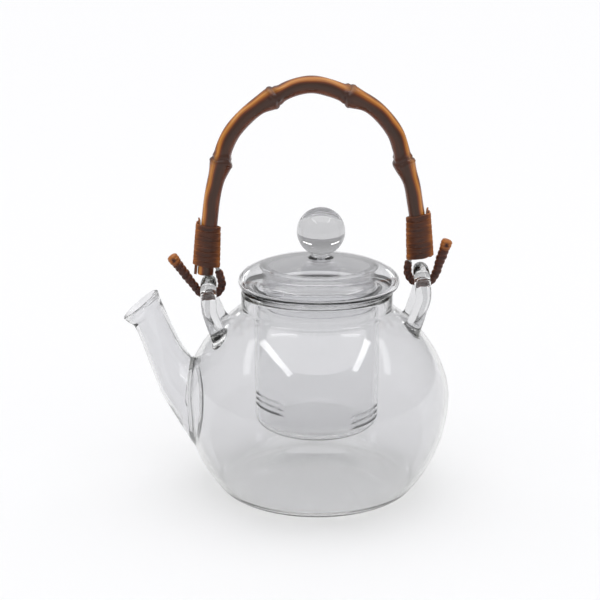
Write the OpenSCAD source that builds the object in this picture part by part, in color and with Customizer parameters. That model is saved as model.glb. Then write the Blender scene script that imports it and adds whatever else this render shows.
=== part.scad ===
// Glass teapot with a glass leaf infuser, a domed lid with a ball knob, and a
// bent bamboo bail hooked through two glass ears by rattan-wrapped wire hooks.
// Millimetres. +Z up, origin on the pot's axis at the plane it stands on.
// The spout points along -X, the ears stand at -X and +X.

/* [Pot bowl] */
// Widest outside diameter of the bowl
body_d = 140; // [134:1:146]
// Height of the widest point
belly_z = 50; // [47:1:53]
// Glass thickness of the bowl
wall = 2.2; // [1.8:0.1:2.6]
// Height at which the shoulder meets the neck
neck_root_z = 97.5; // [95:0.5:99]
// Outside diameter of the neck
neck_d = 79; // [78:0.5:81]
// Height of the neck's rim
neck_top_z = 106.2; // [105.8:0.1:106.4]
// Rise of the pushed-up base in the middle
punt_h = 6; // [3:0.5:8]
// Squareness of the bowl's section below the belly
low_pow = 1.94; // [1.85:0.01:2.05]
// Squareness of the bowl's section above the belly
high_pow = 1.79; // [1.7:0.01:1.9]

/* [Spout] */
// Glass thickness of the spout
spout_wall = 1.8; // [1.5:0.1:2]
// Width of the spout where it joins the bowl
root_w = 54; // [48:1:56]

/* [Ears] */
// Radius of the glass rod the ears are bent from
ear_rod_r = 4.2; // [3.8:0.1:4.4]
// Radius of the arch, to the middle of the rod
ear_arch_r = 12; // [11.5:0.1:12.5]

/* [Infuser] */
// Outside diameter of the infuser's tube
inf_d = 65.3; // [63:0.1:66]
// Glass thickness of the infuser
inf_wall = 2.0; // [1.6:0.1:2.2]
// Height of the infuser's underside
inf_bottom_z = 33; // [30:0.5:38]
// Width of each strainer slit
slit_w = 1.0; // [0.8:0.1:1.4]
// Spacing of the slits
slit_pitch = 3.0; // [2.4:0.1:3.4]

/* [Lid] */
// Widest diameter of the lid
lid_d = 83.8; // [83:0.1:84.6]
// Rise of the dome above its widest point
dome_h = 12.4; // [11:0.1:13.5]
// Diameter of the ball knob
knob_d = 25; // [24:0.5:26]
// Outside diameter of the locating skirt
skirt_d = 58.6; // [57.5:0.1:58.8]
// Depth of the skirt below the lid's edge
skirt_drop = 9; // [6:0.5:12]

/* [Bail] */
// Radius of the bamboo cane between its nodes
cane_r = 4.4; // [4.2:0.05:4.5]
// Extra radius at a node
node_bulge = 1.8; // [1.2:0.1:2.2]
// Thickness of the rattan binding
bind_t = 0.9; // [0.7:0.1:1.2]
// Radius of the steel wire inside the hooks
wire_r = 1.0; // [0.8:0.1:1.2]
// Outside radius of the rattan wrapped round the hooks
wrap_r = 2.2; // [2:0.05:2.3]
// Play between a hook and the ear's rod
hook_play = 0.4; // [0.3:0.05:0.5]

/* [Hidden] */

body_r = body_d / 2;
neck_r = neck_d / 2;
neck_wall = 2.4;
gap = 0.03;                 // between glass pieces that are fused together

// Half heights of the two halves of the section, set by the points they pass through
foot_r = 50.7;              // radius at which the side would meet the table
low_h = belly_z / pow(1 - pow(foot_r / body_r, low_pow), 1 / low_pow);
high_h = (neck_root_z - belly_z) / pow(1 - pow(neck_r / body_r, high_pow), 1 / high_pow);

function arc_pt(c, r, a) = [c[0] + r * cos(a), c[1] + r * sin(a)];

// Outside radius of the bowl at height z, with the skin moved in by d
function bowl_r(z, d = 0) =
    z < belly_z
    ? (body_r - d) * pow(max(0, 1 - pow((belly_z - z) / (low_h - d), low_pow)), 1 / low_pow)
    : (body_r - d) * pow(max(0, 1 - pow((z - belly_z) / (high_h - d), high_pow)), 1 / high_pow);

// ---------------------------------------------------------------- sweeps
function unit(v) = v / norm(v);
function tangent(p, i) = unit(p[min(i + 1, len(p) - 1)] - p[max(i - 1, 0)]);

// One ring of n points round p[i], square to the path, turned to the reference ref
function ring(p, i, r, ref, n) =
    let (t = tangent(p, i),
         n1 = unit(ref - (ref * t) * t),
         n2 = cross(t, n1))
    [for (k = [0:n - 1]) p[i] + r * (cos(k * 360 / n) * n1 - sin(k * 360 / n) * n2)];

// Solid through a list of rings, closed by a fan at each end
module skin(rings, c0, c1) {
    m = len(rings);
    n = len(rings[0]);
    pts = concat([for (g = rings) for (q = g) q], [c0, c1]);
    side = [for (i = [0:m - 2]) for (k = [0:n - 1])
        let (a = i * n + k, b = i * n + (k + 1) % n, c = a + n, d = b + n)
        each [[a, b, d], [a, d, c]]];
    cap0 = [for (k = [0:n - 1]) [m * n, (k + 1) % n, k]];
    cap1 = [for (k = [0:n - 1]) [m * n + 1, (m - 1) * n + k, (m - 1) * n + (k + 1) % n]];
    polyhedron(pts, concat(side, cap0, cap1), convexity = 6);
}

// Tube between two stacks of rings of the same size
module shell(outer, inner) {
    m = len(outer);
    n = len(outer[0]);
    o = m * n;
    pts = concat([for (g = outer) for (q = g) q], [for (g = inner) for (q = g) q]);
    out = [for (i = [0:m - 2]) for (k = [0:n - 1])
        let (a = i * n + k, b = i * n + (k + 1) % n)
        each [[a, b, b + n], [a, b + n, a + n]]];
    inn = [for (i = [0:m - 2]) for (k = [0:n - 1])
        let (a = o + i * n + k, b = o + i * n + (k + 1) % n)
        each [[a, b + n, b], [a, a + n, b + n]]];
    end0 = [for (k = [0:n - 1]) let (a = k, b = (k + 1) % n)
        each [[a, o + b, b], [a, o + a, o + b]]];
    end1 = [for (k = [0:n - 1]) let (a = (m - 1) * n + k, b = (m - 1) * n + (k + 1) % n)
        each [[a, b, o + b], [a, o + b, o + a]]];
    polyhedron(pts, concat(out, inn, end0, end1), convexity = 6);
}

module rod(p, r, ref, n) {
    skin([for (i = [0:len(p) - 1]) ring(p, i, is_list(r) ? r[i] : r, ref, n)], p[0], p[len(p) - 1]);
}

module pipe(p, r_out, r_in, ref, n) {
    shell([for (i = [0:len(p) - 1]) ring(p, i, r_out, ref, n)],
          [for (i = [0:len(p) - 1]) ring(p, i, r_in, ref, n)]);
}

// Smooth curve through control points, s steps between each pair
function spline(p, s) = concat(
    [for (i = [0:len(p) - 2]) for (j = [0:s - 1])
        let (t = j / s,
             a = p[max(i - 1, 0)], b = p[i], c = p[i + 1], d = p[min(i + 2, len(p) - 1)])
        0.5 * ((2 * b) + (c - a) * t + (2 * a - 5 * b + 4 * c - d) * t * t
               + (3 * b - a - 3 * c + d) * t * t * t)],
    [p[len(p) - 1]]);

// Distance along direction d at which the line from p meets the bowl's outside
function seat(p, d, lo = 0, hi = 40, k = 26) =
    k == 0 ? (lo + hi) / 2
    : let (m = (lo + hi) / 2, q = p + m * d)
      norm([q[0], q[1]]) > bowl_r(q[2]) + gap ? seat(p, d, m, hi, k - 1) : seat(p, d, lo, m, k - 1);

// ---------------------------------------------------------------- pot bowl
heel_r = 9;                 // rounding between the side and the foot
heel_x = 46.6;              // outer edge of the flat foot ring
foot_in = 43.2;             // inner edge of the flat foot ring
function punt(r) = punt_h * pow(cos(90 * r / foot_in), 1.5);

bowl_out = concat(
    [[foot_in, 0], [heel_x, 0]],
    [for (a = [-81:9:-45]) arc_pt([heel_x, heel_r], heel_r, a)],
    [for (k = [0:14]) let (z = 4 + (belly_z - 4) * k / 15) [bowl_r(z), z]],
    [for (k = [0:19]) let (a = 90 * k / 20, z = belly_z + (neck_root_z - 1.2 - belly_z) * sin(a)) [bowl_r(z), z]],
    [[neck_r + 0.9, neck_root_z - 0.5], [neck_r + 0.25, neck_root_z + 0.3], [neck_r, neck_root_z + 1.3]],
    [for (a = [0:30:90]) arc_pt([neck_r - 1.2, neck_top_z - 1.2], 1.2, a)]);
bowl_in = concat(
    [for (a = [90:30:180]) arc_pt([neck_r - neck_wall + 1.2, neck_top_z - 1.2], 1.2, a)],
    [[neck_r - neck_wall, neck_root_z - 0.4]],
    [for (k = [19:-1:0]) let (a = 90 * k / 20, z = belly_z + (neck_root_z - 2.6 - belly_z) * sin(a)) [bowl_r(z, wall), z]],
    [for (k = [14:-1:0]) let (z = 4.4 + (belly_z - 4.4) * k / 15) [bowl_r(z, wall), z]],
    [for (a = [-45:-15:-90]) arc_pt([heel_x, heel_r], heel_r - 2.5, a)],
    [[foot_in, 2.5]],
    [for (k = [9:-1:0]) let (r = foot_in * k / 10) [r, punt(r) + 2.5]]);
bowl_under = [for (k = [0:9]) let (r = foot_in * k / 10) [r, punt(r)]];

// The opening into the spout is an oval, and lies inside the spout's root
root_z = 45.2;              // height of the middle of the root
root_h = 22.6;              // half its height

module pot_bowl() color([0.86, 0.88, 0.9, 0.4])
    difference() {
        rotate_extrude($fn = 96) polygon(concat(bowl_under, bowl_out, bowl_in));
        // way into the spout, through the wall
        translate([-body_r - 10, 0, root_z]) rotate([90, 0, 90]) linear_extrude(40)
            polygon([for (k = [0:47]) [(root_w / 2 - 3.4) * sin(k * 7.5), (root_h - 3.4) * cos(k * 7.5)]]);
    }

// ---------------------------------------------------------------- spout
// Each row is a section across the spout: where it meets the upper edge (x, z),
// where it meets the lower edge (x, z), and half its width
spout_rows = spline([
    [-83, 105.6, -100.8, 91.2, 11.2],
    [-82.6, 104.2, -98.6, 89.4, 10.3],
    [-81.6, 101, -96.4, 88, 9.4],
    [-80, 97, -95, 86, 9],
    [-76.5, 88.5, -92.4, 79.5, 9.2],
    [-73, 80.8, -89.6, 71, 9.8],
    [-70.4, 75.6, -86.4, 61.5, 11.4],
    [-68.4, 72.2, -82, 50, 14.4],
    [-67.2, 70.2, -76, 40, 18.4],
    [-66.6, 68.8, -69.8, 30, 22.8]], 2);
spout_n = 40;

// Oval section k of the spout, drawn in by t all round
function spout_ring(row, t) =
    let (u = [row[0], 0, row[1]], l = [row[2], 0, row[3]],
         c = (u + l) / 2, h = norm(u - l) / 2, d = (u - l) / (2 * h))
    [for (k = [0:spout_n - 1]) c + (h - t) * cos(k * 360 / spout_n) * d
                                 + (row[4] - t) * sin(k * 360 / spout_n) * [0, 1, 0]];
// Oval lying on the outside of the bowl
function root_ring(t) = [for (k = [0:spout_n - 1])
    let (y = (root_w / 2 - t) * sin(k * 360 / spout_n),
         z = root_z + (root_h - t) * cos(k * 360 / spout_n))
    [-sqrt(pow(bowl_r(z) + gap, 2) - y * y), y, z]];
// The glass thins to a rounded edge at the lip
function lip_wall(i) = spout_wall * (1 - 0.35 * exp(-i / 1.5));
sp_last = len(spout_rows) - 1;
sp_outer = concat([for (i = [0:sp_last]) spout_ring(spout_rows[i], i == 0 ? 0.35 : 0)], [root_ring(0)]);
sp_inner = concat([for (i = [0:sp_last]) spout_ring(spout_rows[i], lip_wall(i) - (i == 0 ? 0.35 : 0))], [root_ring(3)]);

module spout() color([0.86, 0.88, 0.9, 0.4]) shell(sp_outer, sp_inner);

// ---------------------------------------------------------------- ears
// Middles of the two arches. The bail turns about the line through them.
left_c = [-55.5, 0, 98.2];
right_c = [54.6, 0, 105.1];
swing_ax = unit(right_c - left_c);
swing_up = unit([-swing_ax[2], 0, swing_ax[0]]);

// Arch square to the bail's axis, then two legs bent in to the shoulder.
// front and back are the points at which the legs come down.
function ear_path(c, front, back) =
    let (arch = [for (a = [0:15:180]) c + ear_arch_r * (sin(a) * swing_up - cos(a) * [0, 1, 0])],
         f = [for (t = [1, 0.82, 0.66, 0.5, 0.34, 0.18]) leg(arch[0], front, t)],
         b = [for (t = [0.18, 0.34, 0.5, 0.66, 0.82, 1]) leg(arch[12], back, t)])
    concat(f, arch, b);
// Leaves the arch nearly straight down, then leans over to the foot
function leg(top, foot, t) = let (d = foot - top, q = pow(t, 1.1))
    [top[0] + d[0] * q, top[1] + d[1] * q, top[2] + d[2] * t];
// The rod is drawn a little thinner down the legs, and spreads where it is fused
function ear_r(i, n) = let (e = min(i, n - 1 - i)) ear_rod_r - 0.35 * exp(-pow((e - 3) / 2, 2)) + 0.9 * exp(-e);

module ear(c, front, back) color([0.86, 0.88, 0.9, 0.5]) {
    n = 16;
    p = ear_path(c, front, back);
    m = len(p);
    rings = [for (i = [0:m - 1]) ring(p, i, ear_r(i, m), swing_ax, n)];
    d0 = -tangent(p, 0);
    d1 = tangent(p, m - 1);
    // both ends run on until they meet the shoulder
    foot0 = [for (q = rings[0]) q + seat(q, d0) * d0];
    foot1 = [for (q = rings[m - 1]) q + seat(q, d1) * d1];
    skin(concat([foot0], rings, [foot1]), p[0] + seat(p[0], d0) * d0, p[m - 1] + seat(p[m - 1], d1) * d1);
}
module left_ear() ear(left_c, [-52.2, -15.6, 90.6], [-53.4, 12.6, 92]);
module right_ear() ear(right_c, [50.6, -12.3, 93], [51.3, 12.5, 92.5]);

// ---------------------------------------------------------------- infuser
inf_r = inf_d / 2;
inf_top = neck_top_z + 0.05;
flange_t = 2.2;
flange_r = 39.3;
inf_corner = 7;
inf_prof = concat(
    [[0, inf_bottom_z], [inf_r - inf_corner, inf_bottom_z]],
    [for (a = [-75:15:0]) arc_pt([inf_r - inf_corner, inf_bottom_z + inf_corner], inf_corner, a)],
    [[inf_r, inf_top - 1.6], [inf_r + 0.5, inf_top - 0.5], [inf_r + 1.6, inf_top]],
    [for (a = [-90:30:90]) arc_pt([flange_r - flange_t / 2, inf_top + flange_t / 2], flange_t / 2, a)],
    [for (a = [90:22.5:180]) arc_pt([inf_r - inf_wall + 2, inf_top + flange_t - 2], 2, a)],
    [for (a = [0:-15:-75]) arc_pt([inf_r - inf_corner, inf_bottom_z + inf_corner], inf_corner - inf_wall, a)],
    [[inf_r - inf_corner, inf_bottom_z + inf_wall], [0, inf_bottom_z + inf_wall]]);
slit_in = 30;               // the saw cuts stop this far from the axis
left_slits_az = 216;        // the two groups face the front left and the front right
right_slits_az = 324;
left_slits_z = 46.5;
right_slits_z = 39.3;

module infuser_cup() color([0.86, 0.88, 0.9, 0.4])
    difference() {
        rotate_extrude($fn = 96) polygon(inf_prof);
        for (k = [0:2]) {
            rotate([0, 0, left_slits_az]) translate([slit_in, -30, left_slits_z + k * slit_pitch]) cube([inf_r + 5 - slit_in, 60, slit_w]);
            rotate([0, 0, right_slits_az]) translate([slit_in, -30, right_slits_z + k * slit_pitch]) cube([inf_r + 5 - slit_in, 60, slit_w]);
        }
    }

// ---------------------------------------------------------------- lid
lid_r = lid_d / 2;
lid_z0 = inf_top + flange_t + 0.05;  // underside of the lid's edge
lid_z = lid_z0 + 3.3;                // height of its widest point
lid_wall = 2.2;
function dome(r, d = 0) = lid_z + (dome_h - d) * sqrt(max(0, 1 - pow(r / (lid_r - d), 2)));
skirt_r = skirt_d / 2;
skirt_wall = 1.8;
knob_neck_r = 5.6;
lid_play = 1;                // the lid rests this far to the right
knob_off = 1;                // the knob is fused this far off the lid's middle
knob_z = dome(0) + 1.4 + knob_d / 2 - 0.3;

lid_prof = concat(
    [for (a = [-60:15:0]) arc_pt([lid_r - 3.3, lid_z], 3.3, a)],
    [for (k = [1:17]) let (a = 90 * k / 18) [lid_r * cos(a), dome(lid_r * cos(a))]],
    [[0, dome(0)], [0, dome(0, lid_wall)]],
    [for (k = [17:-1:3]) let (a = 90 * k / 18) [(lid_r - lid_wall) * cos(a), dome((lid_r - lid_wall) * cos(a), lid_wall)]],
    [[lid_r - 3.4, lid_z + 1.6], [lid_r - 4.6, lid_z0 + 1.4], [lid_r - 4.4, lid_z0]]);

module lid_dome() color([0.86, 0.88, 0.9, 0.4]) translate([lid_play, 0, 0]) rotate_extrude($fn = 96)
    polygon(concat([[lid_r - 2.2, lid_z0]], lid_prof));

module lid_skirt() color([0.86, 0.88, 0.9, 0.4]) translate([lid_play, 0, 0]) rotate_extrude($fn = 96) {
    zb = lid_z0 - skirt_drop;
    polygon(concat(
        [[skirt_r - skirt_wall + 0.6, zb], [skirt_r - 0.6, zb], [skirt_r, zb + 0.6]],
        [for (k = [0:3]) let (r = skirt_r - skirt_wall * k / 3) [r, dome(r, lid_wall) - gap]],
        [[skirt_r - skirt_wall, zb + 0.6]]));
}

// Ball on a short neck that is fused to the dome
module lid_knob() color([0.86, 0.88, 0.9, 0.5]) translate([lid_play + knob_off, 0, 0]) rotate_extrude($fn = 96) {
    r = knob_d / 2;
    a0 = -acos((knob_neck_r - 0.4) / r);
    polygon(concat(
        [[0, dome(0) + gap], [knob_neck_r / 2, dome(knob_neck_r / 2) + gap], [knob_neck_r + 0.9, dome(knob_neck_r + 0.9) + gap],
         [knob_neck_r + 0.1, dome(0) + 0.7]],
        [for (k = [0:24]) let (a = a0 + (90 - a0) * k / 24) [max(0, r * cos(a)), knob_z + r * sin(a)]]));
}

// ---------------------------------------------------------------- bail
// Middle line of the cane, from the left end to the right end
cane_pts = [[-58, 0, 115.2], [-57.1, 0, 125], [-55.8, 0, 138], [-54, 0, 153], [-52, 0, 163],
            [-49, 0, 173], [-47, 0, 181], [-43, 0, 189], [-37, 0, 196], [-30, 0, 202],
            [-23, 0, 206], [-13, 0, 211], [-3, 0, 213], [7, 0, 211],
            [17, 0, 207], [26, 0, 203], [33, 0, 197], [39, 0, 189], [42, 0, 181],
            [44, 0, 173], [48, 0, 163], [50, 0, 153], [51.8, 0, 142], [52.7, 0, 132], [53.5, 0, 124]];
cane_steps = 4;
cane_path = spline(cane_pts, cane_steps);
cane_nodes = [5, 10, 14, 19];        // control points at which the nodes sit
function bulge(i) = max([for (c = cane_nodes) exp(-pow((i - c * cane_steps) / 1.5, 2))]);
cane_mid = (len(cane_pts) - 1) * cane_steps / 2;
// Slightly thinner at both ends, and swollen at the nodes
function cane_rad(i) = cane_r - 0.2 * pow((i - cane_mid) / cane_mid, 2) + node_bulge * bulge(i);

// Frames of the two ends: a point on the cane, the direction up it, and outwards
left_o = [-57.6, 0, 119.3];
left_up = unit([1, 0, 10.5]);
right_o = [53.6, 0, 122.5];
right_up = unit([-1, 0, 11]);
left_out = [-left_up[2], 0, left_up[0]];
right_out = [right_up[2], 0, -right_up[0]];
left_bind = [0.3, 21.5];             // from and to, up the cane
right_bind = [1.4, 23.7];
splint_t = 1.6;
end_r = 4.3;                         // room for the cane's end

// The steel wire's shank leaves the cane's inner side at the bottom of the
// binding, and sinks into a groove towards the top
shank_lo = [3, 5.4];                 // up the cane, and inwards from its middle
shank_hi = [20, 4.4];
function shank_p(s) = shank_lo[1] + (shank_hi[1] - shank_lo[1]) * (s - shank_lo[0]) / (shank_hi[0] - shank_lo[0]);
function frame(o, up, out, s, p) = o + s * up + p * out;

// Hook path: the shank down under the binding, a bend round the ear's rod, then the tail
function hook_path(o, up, out, side, c, tail) =
    let (m = c + ear_arch_r * swing_up,
         rr = ear_rod_r + hook_play + wrap_r,
         bend = [for (a = [180:15:270]) m + rr * (side * cos(a) * swing_ax + sin(a) * swing_up)],
         sh = [for (q = [shank_hi, [11.5, shank_p(11.5)], shank_lo, [0.3, shank_p(0.3)], [-1.6, 6.6]]) frame(o, up, out, q[0], -q[1])])
    concat(sh, bend, tail);
left_tail = spline([[-56, 0, 103.4], [-60.3, 0, 104.4], [-64, 0, 109], [-68, 0, 114.5], [-72.2, 0, 120.3]], 3);
right_tail = spline([[54, 0, 110.4], [58.6, 0, 110.9], [61.6, 0, 115.3], [63.4, 0, 121.2], [65.6, 0, 128]], 3);
function drop_first(p) = [for (i = [1:len(p) - 1]) p[i]];
left_hook = hook_path(left_o, left_up, left_out, -1, left_c, drop_first(left_tail));
right_hook = hook_path(right_o, right_up, right_out, 1, right_c, drop_first(right_tail));
// The wrap starts where the hook leaves the binding
function below(p, o, up, s) = [for (q = p) if ((q - o) * up < s) q];

// Section of a cane end with its wire and splint, at the height s, grown by g
module end_section(s, g) {
    circle(r = end_r + g, $fn = 40);
    translate([-shank_p(s), 0]) circle(r = wire_r + g, $fn = 20);
    for (y = [-2, 2]) translate([end_r + 0.1 + splint_t - 0.8, y]) circle(r = 0.8 + g, $fn = 16);
}
// Places a drawing in the frame of a cane end: x outwards, y along Y, z up the cane
module at_end(o, up, out, s) multmatrix([
        [out[0], 0, up[0], o[0] + s * up[0]],
        [0, out[0] > 0 ? 1 : -1, 0, 0],
        [out[2], 0, up[2], o[2] + s * up[2]],
        [0, 0, 0, 1]]) children();

module groove() translate([-shank_p(-8), 0, -8])
    rotate([0, atan2(shank_lo[1] - shank_hi[1], shank_hi[0] - shank_lo[0]), 0])
        cylinder(r = wire_r + 0.06, h = 28.6, $fn = 20);

module bamboo_cane() color([0.45, 0.22, 0.09])
    difference() {
        rod(cane_path, [for (i = [0:len(cane_path) - 1]) cane_rad(i)], [0, 1, 0], 20);
        // grooves for the two shanks
        at_end(left_o, left_up, left_out, 0) groove();
        at_end(right_o, right_up, right_out, 0) groove();
    }

// Sleeve of wound strip, wider at the bottom
module sleeve(b, g, more) hull() {
    translate([0, 0, b[0] - more]) linear_extrude(0.1) end_section(b[0] - more, g);
    translate([0, 0, b[1] - 0.1 + more]) linear_extrude(0.1) end_section(b[1] + more, g);
}
module binding(o, up, out, b) color([0.4, 0.18, 0.07])
    at_end(o, up, out, 0) difference() {
        sleeve(b, bind_t + 0.1, 0);
        sleeve(b, 0.1, 1);
    }
module left_binding() binding(left_o, left_up, left_out, left_bind);
module right_binding() binding(right_o, right_up, right_out, right_bind);

module splint(o, up, out, b) color([0.42, 0.2, 0.08])
    at_end(o, up, out, b[0])
        translate([end_r + 0.05, 0, 0]) rotate([90, 0, 90]) linear_extrude(splint_t - 0.1)
            polygon([[-2.4, 0], [2.4, 0], [2.4, b[1] - b[0] - 3], [0.6, b[1] - b[0]], [-2.4, b[1] - b[0] - 2]]);
module left_splint() splint(left_o, left_up, left_out, [left_bind[0] - 4.6, left_bind[1] + 3.6]);
module right_splint() splint(right_o, right_up, right_out, [right_bind[0] + 0.3, right_bind[1] + 3.6]);

module left_hook_wire() color([0.6, 0.6, 0.62]) rod(left_hook, wire_r, [0, 1, 0], 12);
module right_hook_wire() color([0.6, 0.6, 0.62]) rod(right_hook, wire_r, [0, 1, 0], 12);
module left_hook_wrap() color([0.36, 0.16, 0.06]) pipe(below(left_hook, left_o, left_up, -1.5), wrap_r, wire_r + 0.05, [0, 1, 0], 14);
module right_hook_wrap() color([0.36, 0.16, 0.06]) pipe(below(right_hook, right_o, right_up, -0.2), wrap_r, wire_r + 0.05, [0, 1, 0], 14);

// The wire's end is curled over and wrapped into a bead
module tip(p, d) color([0.5, 0.25, 0.09])
    rotate_extrude($fn = 40) polygon([[0, 0.05], [2.2, 0.05], [2.8, 0.9], [3.1, 2.2], [3, 3.6], [2.3, 4.9], [1.2, 5.7], [0, 5.9]]);
module at_tip(p) {
    q = p[len(p) - 1];
    t = tangent(p, len(p) - 1);
    translate(q) rotate([0, atan2(t[0], t[2]), 0]) children();
}
module left_hook_tip() at_tip(left_hook) tip();
module right_hook_tip() at_tip(right_hook) tip();

pot_bowl();
spout();
left_ear();
right_ear();
infuser_cup();
lid_dome();
lid_skirt();
lid_knob();
bamboo_cane();
left_binding();
right_binding();
left_splint();
right_splint();
left_hook_wire();
right_hook_wire();
left_hook_wrap();
right_hook_wrap();
left_hook_tip();
right_hook_tip();
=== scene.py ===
import math
import random

import bmesh
import bpy
from mathutils import Matrix, Vector


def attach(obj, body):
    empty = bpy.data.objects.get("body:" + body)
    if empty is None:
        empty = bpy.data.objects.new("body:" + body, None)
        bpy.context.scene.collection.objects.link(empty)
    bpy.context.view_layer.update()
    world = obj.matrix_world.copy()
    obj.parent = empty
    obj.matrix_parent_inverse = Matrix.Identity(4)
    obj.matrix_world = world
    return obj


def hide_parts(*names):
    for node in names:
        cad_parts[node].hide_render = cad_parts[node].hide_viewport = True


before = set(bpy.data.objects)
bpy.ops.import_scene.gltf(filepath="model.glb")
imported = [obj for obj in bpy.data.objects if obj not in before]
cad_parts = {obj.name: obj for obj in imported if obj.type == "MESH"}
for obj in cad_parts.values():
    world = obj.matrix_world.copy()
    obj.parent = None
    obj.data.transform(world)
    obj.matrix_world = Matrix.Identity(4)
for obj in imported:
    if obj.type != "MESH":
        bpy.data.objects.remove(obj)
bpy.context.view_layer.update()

MM = 0.001
TAU = 2 * math.pi


# ------------------------------------------------------------------ numbers
# Bowl
BODY_R, BELLY_Z, WALL = 70.0, 50.0, 2.2
NECK_ROOT, NECK_R, NECK_TOP, NECK_WALL = 97.5, 39.5, 106.2, 2.4
PUNT_H, FOOT_IN, HEEL_X, HEEL_R = 6.0, 43.2, 46.6, 9.0
LOW_P, HIGH_P = 1.94, 1.79
LOW_H = BELLY_Z / (1 - (50.7 / BODY_R) ** LOW_P) ** (1 / LOW_P)
HIGH_H = (NECK_ROOT - BELLY_Z) / (1 - (NECK_R / BODY_R) ** HIGH_P) ** (1 / HIGH_P)


def bowl_r(z, d=0.0):
    if z < BELLY_Z:
        t = (BELLY_Z - z) / (LOW_H - d)
        return (BODY_R - d) * max(0.0, 1 - t ** LOW_P) ** (1 / LOW_P)
    t = (z - BELLY_Z) / (HIGH_H - d)
    return (BODY_R - d) * max(0.0, 1 - t ** HIGH_P) ** (1 / HIGH_P)


def arc(cx, cy, r, a0, a1, n):
    return [(cx + r * math.cos(math.radians(a0 + (a1 - a0) * i / n)),
             cy + r * math.sin(math.radians(a0 + (a1 - a0) * i / n))) for i in range(n + 1)]


# ------------------------------------------------------------------ meshes
def new_obj(name, verts, faces, smooth=True):
    me = bpy.data.meshes.new(name)
    me.from_pydata([(x * MM, y * MM, z * MM) for x, y, z in verts], [], faces)
    me.validate()
    if smooth:
        me.polygons.foreach_set("use_smooth", [True] * len(me.polygons))
    ob = bpy.data.objects.new(name, me)
    bpy.context.scene.collection.objects.link(ob)
    return ob


def resample(pts, step):
    """A closed or open outline with points at most step apart."""
    out = [pts[0]]
    for a, b in zip(pts, pts[1:]):
        d = math.dist(a, b)
        n = max(1, int(math.ceil(d / step)))
        for i in range(1, n + 1):
            out.append((a[0] + (b[0] - a[0]) * i / n, a[1] + (b[1] - a[1]) * i / n))
    return out


def lathe(name, prof, n=192, closed=False, off=(0.0, 0.0)):
    """Turns prof, a list of (r, z), round Z. Points at r = 0 become a pole."""
    prof = [p for i, p in enumerate(prof) if i == 0 or math.dist(p, prof[i - 1]) > 1e-5]
    if closed and math.dist(prof[0], prof[-1]) < 1e-5:
        prof = prof[:-1]
    verts, rows, faces = [], [], []
    for r, z in prof:
        if r < 1e-6:
            rows.append([len(verts)] * n)
            verts.append((off[0], off[1], z))
        else:
            rows.append(list(range(len(verts), len(verts) + n)))
            verts += [(off[0] + r * math.cos(TAU * k / n), off[1] + r * math.sin(TAU * k / n), z) for k in range(n)]
    m = len(rows)
    for i in range(m if closed else m - 1):
        a, b = rows[i], rows[(i + 1) % m]
        for k in range(n):
            q = [a[k], a[(k + 1) % n], b[(k + 1) % n], b[k]]
            f = []
            for v in q:
                if v not in f:
                    f.append(v)
            if len(f) > 2:
                faces.append(f)
    return new_obj(name, verts, faces)


def catmull(pts, steps):
    out = []
    n = len(pts)
    for i in range(n - 1):
        p0, p1, p2, p3 = pts[max(i - 1, 0)], pts[i], pts[i + 1], pts[min(i + 2, n - 1)]
        for j in range(steps):
            t = j / steps
            out.append(tuple(0.5 * ((2 * b) + (c - a) * t + (2 * a - 5 * b + 4 * c - d) * t * t
                                    + (3 * b - a - 3 * c + d) * t ** 3)
                             for a, b, c, d in zip(p0, p1, p2, p3)))
    out.append(tuple(pts[-1]))
    return out


def lengths(pts):
    s = [0.0]
    for a, b in zip(pts, pts[1:]):
        s.append(s[-1] + math.dist(a, b))
    return s


def even(pts, step):
    """The same line with points evenly spaced."""
    s = lengths(pts)
    n = max(2, int(round(s[-1] / step)))
    out, j = [], 0
    for i in range(n + 1):
        t = s[-1] * i / n
        while j < len(s) - 2 and s[j + 1] < t:
            j += 1
        u = 0 if s[j + 1] == s[j] else (t - s[j]) / (s[j + 1] - s[j])
        out.append(tuple(a + (b - a) * u for a, b in zip(pts[j], pts[j + 1])))
    return out


def frames(pts, ref):
    """(point, tangent, n1, n2) along a line; n1 keeps to ref's side."""
    out = []
    for i, p in enumerate(pts):
        t = (Vector(pts[min(i + 1, len(pts) - 1)]) - Vector(pts[max(i - 1, 0)])).normalized()
        n1 = Vector(ref)
        n1 = (n1 - n1.dot(t) * t).normalized()
        out.append((Vector(p), t, n1, t.cross(n1)))
    return out


def sweep(name, pts, radius, ref=(0, 1, 0), n=48, caps=True, attrs=None):
    """Tube along pts; radius(i, s, ang) in mm. attrs(i, s, ang) gives values for the point attributes."""
    fr = frames(pts, ref)
    s = lengths(pts)
    verts, faces, av = [], [], []
    for i, (p, t, n1, n2) in enumerate(fr):
        for k in range(n):
            a = TAU * k / n
            r = radius(i, s[i], a)
            verts.append(tuple(p + r * (math.cos(a) * n1 + math.sin(a) * n2)))
            if attrs:
                av.append(attrs(i, s[i], a))
    for i in range(len(fr) - 1):
        for k in range(n):
            a, b = i * n + k, i * n + (k + 1) % n
            faces.append((a, b, b + n, a + n))
    if caps:
        for i, flip in ((0, True), (len(fr) - 1, False)):
            c = len(verts)
            verts.append(tuple(fr[i][0]))
            if attrs:
                av.append(attrs(i, s[i], 0.0))
            for k in range(n):
                a, b = i * n + k, i * n + (k + 1) % n
                faces.append((c, b, a) if flip else (c, a, b))
    ob = new_obj(name, verts, faces)
    if attrs:
        for j, key in enumerate(av[0].keys()):
            at = ob.data.attributes.new(key, "FLOAT", "POINT")
            at.data.foreach_set("value", [v[key] for v in av])
    return ob


def fix_normals(ob):
    bm = bmesh.new()
    bm.from_mesh(ob.data)
    bmesh.ops.recalc_face_normals(bm, faces=bm.faces)
    bm.to_mesh(ob.data)
    bm.free()


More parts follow.
